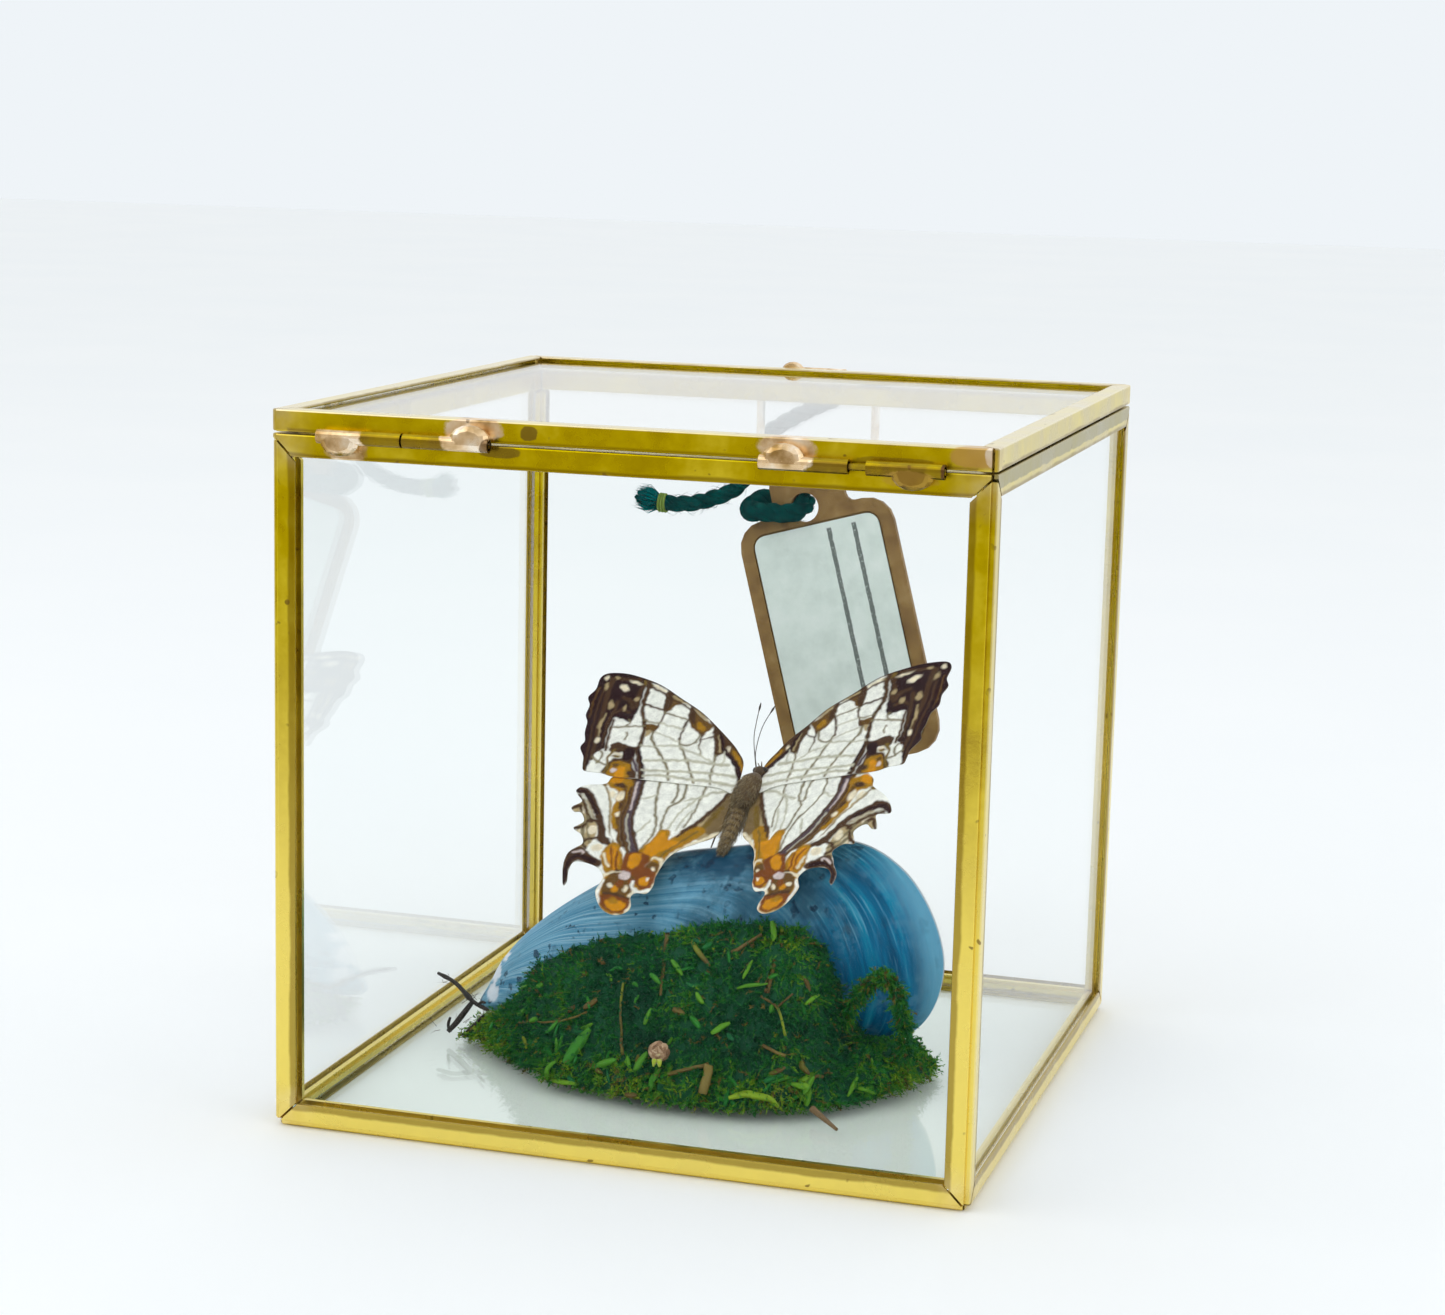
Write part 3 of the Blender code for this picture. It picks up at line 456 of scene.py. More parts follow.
# The same route as the solid that it stands for
TWINE_RADIUS = 1.4 * MM
TWINE_ROUTE = (
    (-32.0, 53.0, 78.2), (-27.5, 53.0, 77.4), (-22.5, 53.2, 77.6), (-18.6, 53.5, 78.7),
    (-15.5, 54.0, 80.2), (-13.6, 54.6, 82.6), (-12.4, 54.9, 85.8), (-9.4, 54.8, 89.2),
    (-3.6, 54.5, 92.6), (3.6, 54.4, 96.0),
)
YARN_PLIES = 3
YARN_TURN = 7.5 * MM          # length of one full turn of the plies
YARN_STEP = 0.45 * MM
PLY_SHARE = 0.56              # of a ply's radius in the yarn's
OPEN_LENGTH = 7 * MM          # over which the plies spread towards the frayed end
TASSEL = 4.2 * MM             # length of the frayed end
TASSEL_HAIRS = 420
BINDING_RADIUS = 0.22 * MM
FUZZ_WIDTH = 0.035 * MM
RING_SWELL = 1.18             # the double strand is thicker than the single one
RING_STEPS = 60
RING_PITCH = 0.95 * MM        # how far the ring rises towards its back and its right
RING_LEAN = 0.5 * MM
HITCH_RADIUS = 1.05 * MM
HITCH_TURNS = 2.2
HITCH_STEPS = 70
HITCH_INSET = (1.1 * MM, 1.0 * MM)     # of the strand's middle from the solid's ends and round side


def wool_look():
    """Dark green-blue wool."""
    made, look, shader = new_look("twine_wool")
    fibres = look.noise(5200.0, vector=look.stretched((1.0, 1.0, 0.35)))
    tone = fibres * 0.6 + look.noise(420.0) * 0.4
    colour = look.ramp(tone, (0.30, (0.0, 0.014, 0.015)), (0.52, (0.0, 0.052, 0.050)),
                       (0.72, (0.001, 0.145, 0.125)))
    frayed = look.attribute("tone")
    colour = look.mix(look.step(frayed, 0.0, 0.7), colour, (0.0, 0.25, 0.26))
    colour = look.mix(look.step(frayed, 0.85, 0.95), colour, (0.20, 0.30, 0.06))
    settle(look, shader, Base_Color=colour, Roughness=0.95, Normal=look.bump(fibres, 0.6, 0.25 * MM))
    shader.inputs["Specular IOR Level"].default_value = 0.08
    return made


def add_yarn(sheaf, line, radius, taper_start=False, spread_start=0.0):
    """Plies wound round each other along a line."""
    travelled = [0.0]
    for first, second in zip(line, line[1:]):
        travelled.append(travelled[-1] + (second - first).length)
    crosses = frames_along(line)
    ply_radius = radius * PLY_SHARE
    for ply in range(YARN_PLIES):
        strand = []
        radii = []
        for point, pair, walked in zip(line, crosses, travelled):
            angle = FULL_TURN * (walked / YARN_TURN + ply / YARN_PLIES)
            swell = 1.0 + 0.10 * noise.noise(Vector((walked * 400, ply * 7.0, 1.0)))
            open_share = max(0.0, 1.0 - walked / OPEN_LENGTH) * spread_start
            offset = (radius - ply_radius) * (1.0 + open_share)
            strand.append(point + around(pair, angle) * offset)
            thin = min(1.0, 0.45 + walked / (4 * MM)) if taper_start else 1.0
            radii.append(ply_radius * swell * thin)
        add_tube(sheaf, strand, radii, 10)


def add_fuzz(sheaf, line, radius, count, seed, reach=(0.8, 2.4)):
    """Loose fibres round a yarn."""
    shaker = random.Random(seed)
    crosses = frames_along(line)
    for _ in range(count):
        index = shaker.randrange(1, len(line) - 1)
        outward = around(crosses[index], shaker.uniform(0, FULL_TURN))
        along = (line[index + 1] - line[index]).normalized() * shaker.choice((-1, 1))
        root = line[index] + outward * radius * 0.8
        length = shaker.uniform(*reach) * MM
        tip = root + (along * 0.9 + outward * shaker.uniform(0.1, 0.6)).normalized() * length
        bend = outward * shaker.uniform(0.05, 0.35) * MM
        add_hair(sheaf, root, tip, FUZZ_WIDTH, bend, shaker.uniform(0.0, 0.25))


def add_tassel(sheaf, line):
    """The unravelled end of the twine, bound with a paler thread."""
    shaker = random.Random(12)
    crosses = frames_along(line)
    knot = round(TASSEL / YARN_STEP)
    for start in range(knot, knot + 3):
        ring = []
        for step in range(25):
            lean = (line[start + 1] - line[start]) * (step / 24)
            outward = around(crosses[start], FULL_TURN * step / 24)
            ring.append(line[start] + lean + outward * TWINE_RADIUS * 1.02)
        add_tube(sheaf, ring, [BINDING_RADIUS] * len(ring), 6, 1.0)
    outward = (line[0] - line[4]).normalized()
    for _ in range(TASSEL_HAIRS):
        angle = shaker.uniform(0, FULL_TURN)
        spread = shaker.random() ** 0.5
        side = around(crosses[knot], angle)
        root = line[knot] + side * TWINE_RADIUS * 0.85 * spread
        tip = line[0] + outward * shaker.uniform(-1.4, 0.5) * MM
        tip = tip + side * shaker.uniform(0.8, 1.75) * TWINE_RADIUS * spread
        bulge = side * shaker.uniform(0.2, 0.9) * MM * spread
        add_hair(sheaf, root, tip, 0.095 * MM, bulge, shaker.uniform(0.15, 0.75))


def ring_route():
    """The double strand's way through the tag's hole, flat and slightly tipped."""
    low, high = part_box("twine_ring")
    middle = (low + high) / 2
    half_depth = (high.y - low.y) / 2 - TWINE_RADIUS
    straight = (high.x - low.x) / 2 - TWINE_RADIUS - half_depth
    route = []
    for step in range(RING_STEPS + 1):
        angle = FULL_TURN * step / RING_STEPS
        side = 1 if math.cos(angle) > 0 else -1
        across = middle.x + side * straight + half_depth * math.cos(angle)
        rise = RING_PITCH * math.sin(angle) + RING_LEAN * math.cos(angle)
        route.append(Vector((across, middle.y + half_depth * math.sin(angle), middle.z + rise)))
    return respace(route, YARN_STEP)


def hitch_route():
    """Turns of the strand round the loop."""
    low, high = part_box("twine_hitch")
    reach = (high - low) / 2
    end_inset, side_inset = HITCH_INSET
    route = []
    for step in range(HITCH_STEPS + 1):
        share = step / HITCH_STEPS
        angle = FULL_TURN * HITCH_TURNS * share
        lean = (share - 0.5) * 2
        off = Vector((lean * (reach.x - end_inset), math.cos(angle) * (reach.y - side_inset),
                      math.sin(angle) * (reach.z - side_inset)))
        route.append((low + high) / 2 + off)
    return route


def make_twine():
    """Wool twine with its frayed end, the ring through the tag and the hitch."""
    wool = wool_look()
    route = smooth_line(in_metres(TWINE_ROUTE), YARN_STEP)
    sheaf = Sheaf()
    add_yarn(sheaf, route, TWINE_RADIUS, taper_start=True, spread_start=0.25)
    add_fuzz(sheaf, route, TWINE_RADIUS, 320, 3)
    add_tassel(sheaf, route)
    twine = sheaf.make("wool_twine", wool)

    sheaf = Sheaf()
    ring = ring_route()
    add_yarn(sheaf, ring, TWINE_RADIUS * RING_SWELL)
    add_fuzz(sheaf, ring, TWINE_RADIUS, 120, 5)
    wrap = sheaf.make("wool_ring", wool)

    sheaf = Sheaf()
    turns = hitch_route()
    add_yarn(sheaf, respace(turns, YARN_STEP), HITCH_RADIUS)
    add_fuzz(sheaf, turns, 1.2 * MM, 60, 8, reach=(0.6, 1.6))
    knot = sheaf.make("wool_hitch", wool)

    for piece, node in ((twine, "twine"), (wrap, "twine_ring"), (knot, "twine_hitch")):
        bind(piece, node)
    length = sum((second - first).length for first, second in zip(route, route[1:]))


# ---------------------------------------------------------------- brass and glass

SOLDER_RAMP = ((0.30, (0.42, 0.25, 0.08)), (0.48, (0.80, 0.58, 0.34)), (0.66, (0.98, 0.87, 0.72)))
BROWN = (0.13, 0.065, 0.022)
COPPER = (0.62, 0.36, 0.09)
REFLECTION_GREY = (0.20, 0.19, 0.12)

# Patches on the hinge side: kind, place across, half length, height, half height and strength
LID_PATCHES = (
    ("solder", -20.6, 4.0, 99.7, 1.5, 1.0), ("solder", 22.4, 3.8, 99.6, 1.6, 1.0),
    ("copper", 47.2, 3.4, 99.8, 1.3, 0.75), ("solder", 49.6, 1.2, 99.9, 1.3, 0.8),
    ("tarnish", -12.8, 1.2, 99.5, 0.9, 0.7), ("tarnish", 37.0, 5.0, 98.7, 0.5, 0.4),
)
BODY_PATCHES = (
    ("solder", -39.2, 3.2, 96.2, 1.7, 0.9), ("copper", 39.0, 3.6, 96.4, 0.9, 0.30),
    ("tarnish", -17.0, 3.0, 96.9, 0.7, 0.6),
)
# The grey patch high on the right top rail is a painted reflection
SIDE_REFLECTION_PATCHES = (("grey", 50.0, 0.8, 96.9, 1.1, 0.6),)
HINGE_PATCHES = {
    "hinge_left_box_knuckle": (("solder", -39.2, 3.2, 97.6, 2.2, 1.0),),
    "hinge_left_lid_knuckle": (
        ("solder", -20.6, 3.6, 98.6, 2.4, 1.0), ("tarnish", -17.6, 1.3, 97.6, 1.2, 0.8)),
    "hinge_right_lid_knuckle": (
        ("solder", 22.4, 3.6, 98.6, 2.4, 1.0), ("tarnish", 33.0, 1.6, 98.0, 2.0, 0.8)),
    "hinge_right_box_knuckle": (
        ("copper", 39.0, 3.4, 96.6, 1.2, 0.35), ("tarnish", 44.2, 1.0, 98.0, 2.0, 1.0)),
}
HINGE_TARNISH = 0.55
# How strongly each pane bends and mirrors; the near and far ones hardly show the room
PANE_INDEX = {"pane_hinge_side": 1.09, "pane_latch_side": 1.08, "pane_left": 1.34, "pane_floor": 1.32}
OTHER_INDEX = 1.25
CLEAR_GLASS = (0.985, 0.996, 0.993)
# The floor pane's green tint is a painted reflection of the moss above it
FLOOR_GLASS_MOSS_REFLECTION = (0.965, 0.998, 0.945)


def brass_look(name, on_lid=False, patches=(), tarnish=0.0):
    """Aged yellow brass with coppery solder and tarnish in patches; brown along its inner edges from patina
    and painted seam shade, paler low down as painted light, with painted highlights on its outer side and top
    faces and grey patches of painted reflection.
    """
    made, look, shader = new_look(name)
    x, y, z = look.parts(look.place())
    # Distances from the case's faces, sorted into nearest, across and farthest
    sideways = HALF_SIDE - abs(x)
    inward = HALF_SIDE - abs(y)
    level = LID_TOP - z if on_lid else look.least(z, BODY_TOP - z)
    nearest = look.least(sideways, look.least(inward, level))
    farthest = look.most(sideways, look.most(inward, level))
    across = sideways + (inward + level) - nearest - farthest

    clouds = look.noise(120.0, 4.0, roughness=0.6)
    gold = look.ramp(clouds, (0.30, (0.46, 0.32, 0.001)), (0.52, (0.61, 0.455, 0.001)),
                     (0.72, (0.79, 0.63, 0.03)))
    # Painted light: paler and yellower low down, darker higher up
    gold = look.mix(look.step(z, 84 * MM, 22 * MM) * 0.75, gold, (1.0, 0.80, 0.20))
    # Painted highlight on the outer side faces
    side_face_highlight = look.step(abs(x), HALF_SIDE - 0.3 * MM, HALF_SIDE - 0.1 * MM)
    gold = look.mix(side_face_highlight * 0.42, gold, (0.88, 0.80, 0.50))
    # Painted highlight on the lid's top face
    top_face_highlight = look.step(z, LID_TOP - 0.3 * MM, LID_TOP - 0.1 * MM)
    gold = look.mix(top_face_highlight * 0.60, gold, (0.92, 0.88, 0.74))
    wander = (clouds - 0.5) * (1.0 * MM)
    # Brown along the inner edges and seams: patina, and painted shade where the brass meets the glass and the
    # lid meets the body
    edge = look.step(across + wander, 2.35 * MM, 2.80 * MM)
    edge = edge * look.step(nearest, 0.6 * MM, 0.3 * MM, 0.15, 0.62)
    gold = look.mix(edge, gold, (0.17, 0.085, 0.004))
    corner = look.step(farthest + wander * 3.0, 7.0 * MM, 2.0 * MM)
    solder = look.ramp(look.noise(300.0, 3.0), *SOLDER_RAMP)
    gold = look.mix(corner * 0.22, gold, solder)
    worn = look.step(look.noise(230.0, 3.0, roughness=0.6), 0.36, 0.62, 0.35, 1.0)
    gold = look.mix(worn * tarnish, gold, BROWN)
    # The grey cover is a painted reflection; solder, tarnish and copper are the brass's own
    covers = {"solder": solder, "tarnish": BROWN, "copper": COPPER, "grey": REFLECTION_GREY}
    ragged = (look.noise(340.0, 4.0, roughness=0.65) - 0.5) * 2.4
    for kind, middle, half, height, half_height, strength in patches:
        off = (abs((x - middle * MM) / (half * MM)) ** 2.5
               + abs((z - height * MM) / (half_height * MM)) ** 2.5)
        gold = look.mix(look.step(off + ragged, 1.30, 0.80, 0.0, strength), gold, covers[kind])
    spots = look.step(look.noise(620.0, 1.0), 0.69, 0.74) * look.step(clouds, 0.5, 0.62)
    gold = look.mix(spots * 0.75, gold, (0.16, 0.08, 0.02))
    settle(look, shader, Base_Color=gold, Roughness=clouds * 0.34 + 0.12, Metallic=1.0,
           Normal=look.bump(clouds * 2.0 + look.noise(900.0, 3.0), 0.16, 0.16 * MM))
    return made


def solder_look():
    """Coppery solder, paler and darker in clouds."""
    made, look, shader = new_look("solder")
    clouds = look.noise(420.0, 3.0)
    settle(look, shader, Base_Color=look.ramp(clouds, *SOLDER_RAMP), Metallic=1.0,
           Roughness=clouds * 0.35 + 0.12, Normal=look.bump(look.noise(1500.0, 3.0), 0.25, 0.12 * MM))
    return made


def glass_look(pane):
    """Clear glass with the faintest waviness and smears."""
    made, look, shader = new_look("glass_" + pane)
    smear = look.noise(45.0, 4.0, vector=look.stretched((1.0, 1.0, 0.4)))
    # The floor pane takes a green tint that paints the moss's reflection
    settle(look, shader, Base_Color=FLOOR_GLASS_MOSS_REFLECTION if pane == "pane_floor" else CLEAR_GLASS,
           Roughness=look.step(smear, 0.62, 0.80, 0.0, 0.035),
           Normal=look.bump(look.noise(18.0, 1.0), 0.02, 0.4 * MM))
    shader.inputs["IOR"].default_value = PANE_INDEX.get(pane, OTHER_INDEX)
    shader.inputs["Transmission Weight"].default_value = 1.0
    return made


def dress_case():
    """Finish the brass and the panes."""
    body_brass = brass_look("brass_body")
    lid_brass = brass_look("brass_lid", on_lid=True)
    dress([name for name in NODES if name.startswith(("post_", "bottom_rail_", "top_rail_"))], body_brass)
    dress([name for name in NODES if name.startswith("lid_rail_")], lid_brass)
    dress(["lid_rail_hinge_side"], brass_look("brass_lid_near", True, LID_PATCHES))
    dress(["top_rail_hinge_side"], brass_look("brass_body_near", False, BODY_PATCHES))
    dress(["top_rail_right"], brass_look("brass_body_side", False, SIDE_REFLECTION_PATCHES))
    for name, patches in HINGE_PATCHES.items():
        dress([name], brass_look(name + "_brass", True, patches, HINGE_TARNISH))
    dress(["hinge_left_pin", "hinge_right_pin"], brass_look("brass_pins", tarnish=1.0))
    dress(["lid_pull", "tag_loop"], solder_look())
    for name in NODES:
        if name.startswith("pane_"):
            dress([name], glass_look(name))
            NODES[name].visible_shadow = False


# ---------------------------------------------------------------- butterfly

# The butterfly's own frame has X to its right, Y to the head and Z off the back
THORAX = Vector((1.7, 8.0, 41.7)) * MM
BUTTERFLY_TURN = Euler((math.radians(37), math.radians(-9.4), math.radians(-2)), "YXZ")
DIHEDRAL = math.radians(9.4)
WING_ROOT = 1.9
HIND_DROP = 0.24 * MM
WING_GRID = 0.17              # millimetres between the points of a wing's mesh
ROW_SHARE = 0.866             # of the grid's spacing between two rows of points
MEMBRANE = 0.10 * MM
MARK_EDGE = 0.32              # width over which a marking fades, in millimetres
MARK_WOBBLE = 0.22            # how far a marking's edge wanders, in millimetres
RIGHT_FORE_LEAN = 0.177
RIGHT_FORE_LEAN_FROM = 6.5
RIGHT_HIND_SHIFTS = ((-27.6, -1.8), (-23.0, -1.4), (-16.5, -3.2), (-4.5, 0.9), (1.2, 0.9))
RIGHT_HIND_SAG = 5.6
RIGHT_HIND_LIFT = 1.1
WING_REACH = 25.0
OUTLINE_START = 1.0           # where the wings' outlines start, out from the body
WING_CAMBER = 0.42            # heights in millimetres: the wing's arch, its waves and its veins
WING_WAVE = 0.10
VEIN_HEIGHT = 0.03
CAMBER_SPAN = 30
PALE_MEAN = 0.82              # mean of a colour at which a place carries no vein
UNDERSIDE_SHARE = 0.65        # of the upper side's colours in the lower side's

FOREWING = (
    (1, 3.4), (2.6, 6), (4.6, 8), (7, 10.2), (9.5, 12.2), (12, 13.9), (15, 15.7), (18, 17.4), (21, 18.7),
    (24, 19.6), (26.2, 19.8), (28.3, 19.5), (29.2, 18.4), (29.1, 16), (29.8, 14.2), (29.1, 12.6),
    (29.1, 10.6), (28.3, 9), (28, 6.8), (27.5, 5.2), (27.8, 3.8), (26.6, 1.8), (26.2, 0.2), (25.6, -0.8),
    (22.8, -1), (20, -1.6), (12, -1.8), (4, -1.6), (1, -2),
)
HINDWING = (
    (1, 0.6), (8, 1.2), (16, 0.8), (20.5, -1.2), (21.4, -3), (24.3, -3.5), (25.6, -4.5), (25.4, -5.4),
    (24.1, -6.8), (25.4, -8), (24.8, -8.8), (23.6, -8.9), (22.5, -10.8), (23.7, -12.2), (22.2, -13.2),
    (21.4, -14.9), (22.7, -16.3), (23.1, -17.6), (22.9, -20), (21.9, -23), (21.5, -22.4), (21.9, -20.2),
    (21.3, -18.5), (18, -19), (16.3, -20.6), (16.2, -22), (16.4, -23.8), (15.4, -25.8), (13.8, -27.2),
    (12, -27.6), (10.6, -26.8), (10.3, -25.6), (10.8, -24), (10.2, -23.2), (8.6, -23), (8, -21.4),
    (8.2, -19.6), (7.6, -16.4), (6, -14.2), (3.8, -12.6), (1.2, -10.4), (1, -7),
)

WING_COLOURS = {
    "white": (0.86, 0.86, 0.79), "mist": (0.50, 0.48, 0.37), "drab": (0.20, 0.165, 0.090),
    "umber": (0.066, 0.030, 0.012), "ink": (0.020, 0.004, 0.006), "rust": (0.19, 0.052, 0.008),
    "olive": (0.17, 0.105, 0.018), "gold": (0.36, 0.175, 0.006), "orange": (0.60, 0.245, 0.003),
    "bronze": (0.130, 0.062, 0.012), "tan": (0.42, 0.32, 0.16), "cream": (0.80, 0.71, 0.52),
    "lilac": (0.62, 0.52, 0.50), "mauve": (0.075, 0.048, 0.062), "fur": (0.19, 0.125, 0.052),
}

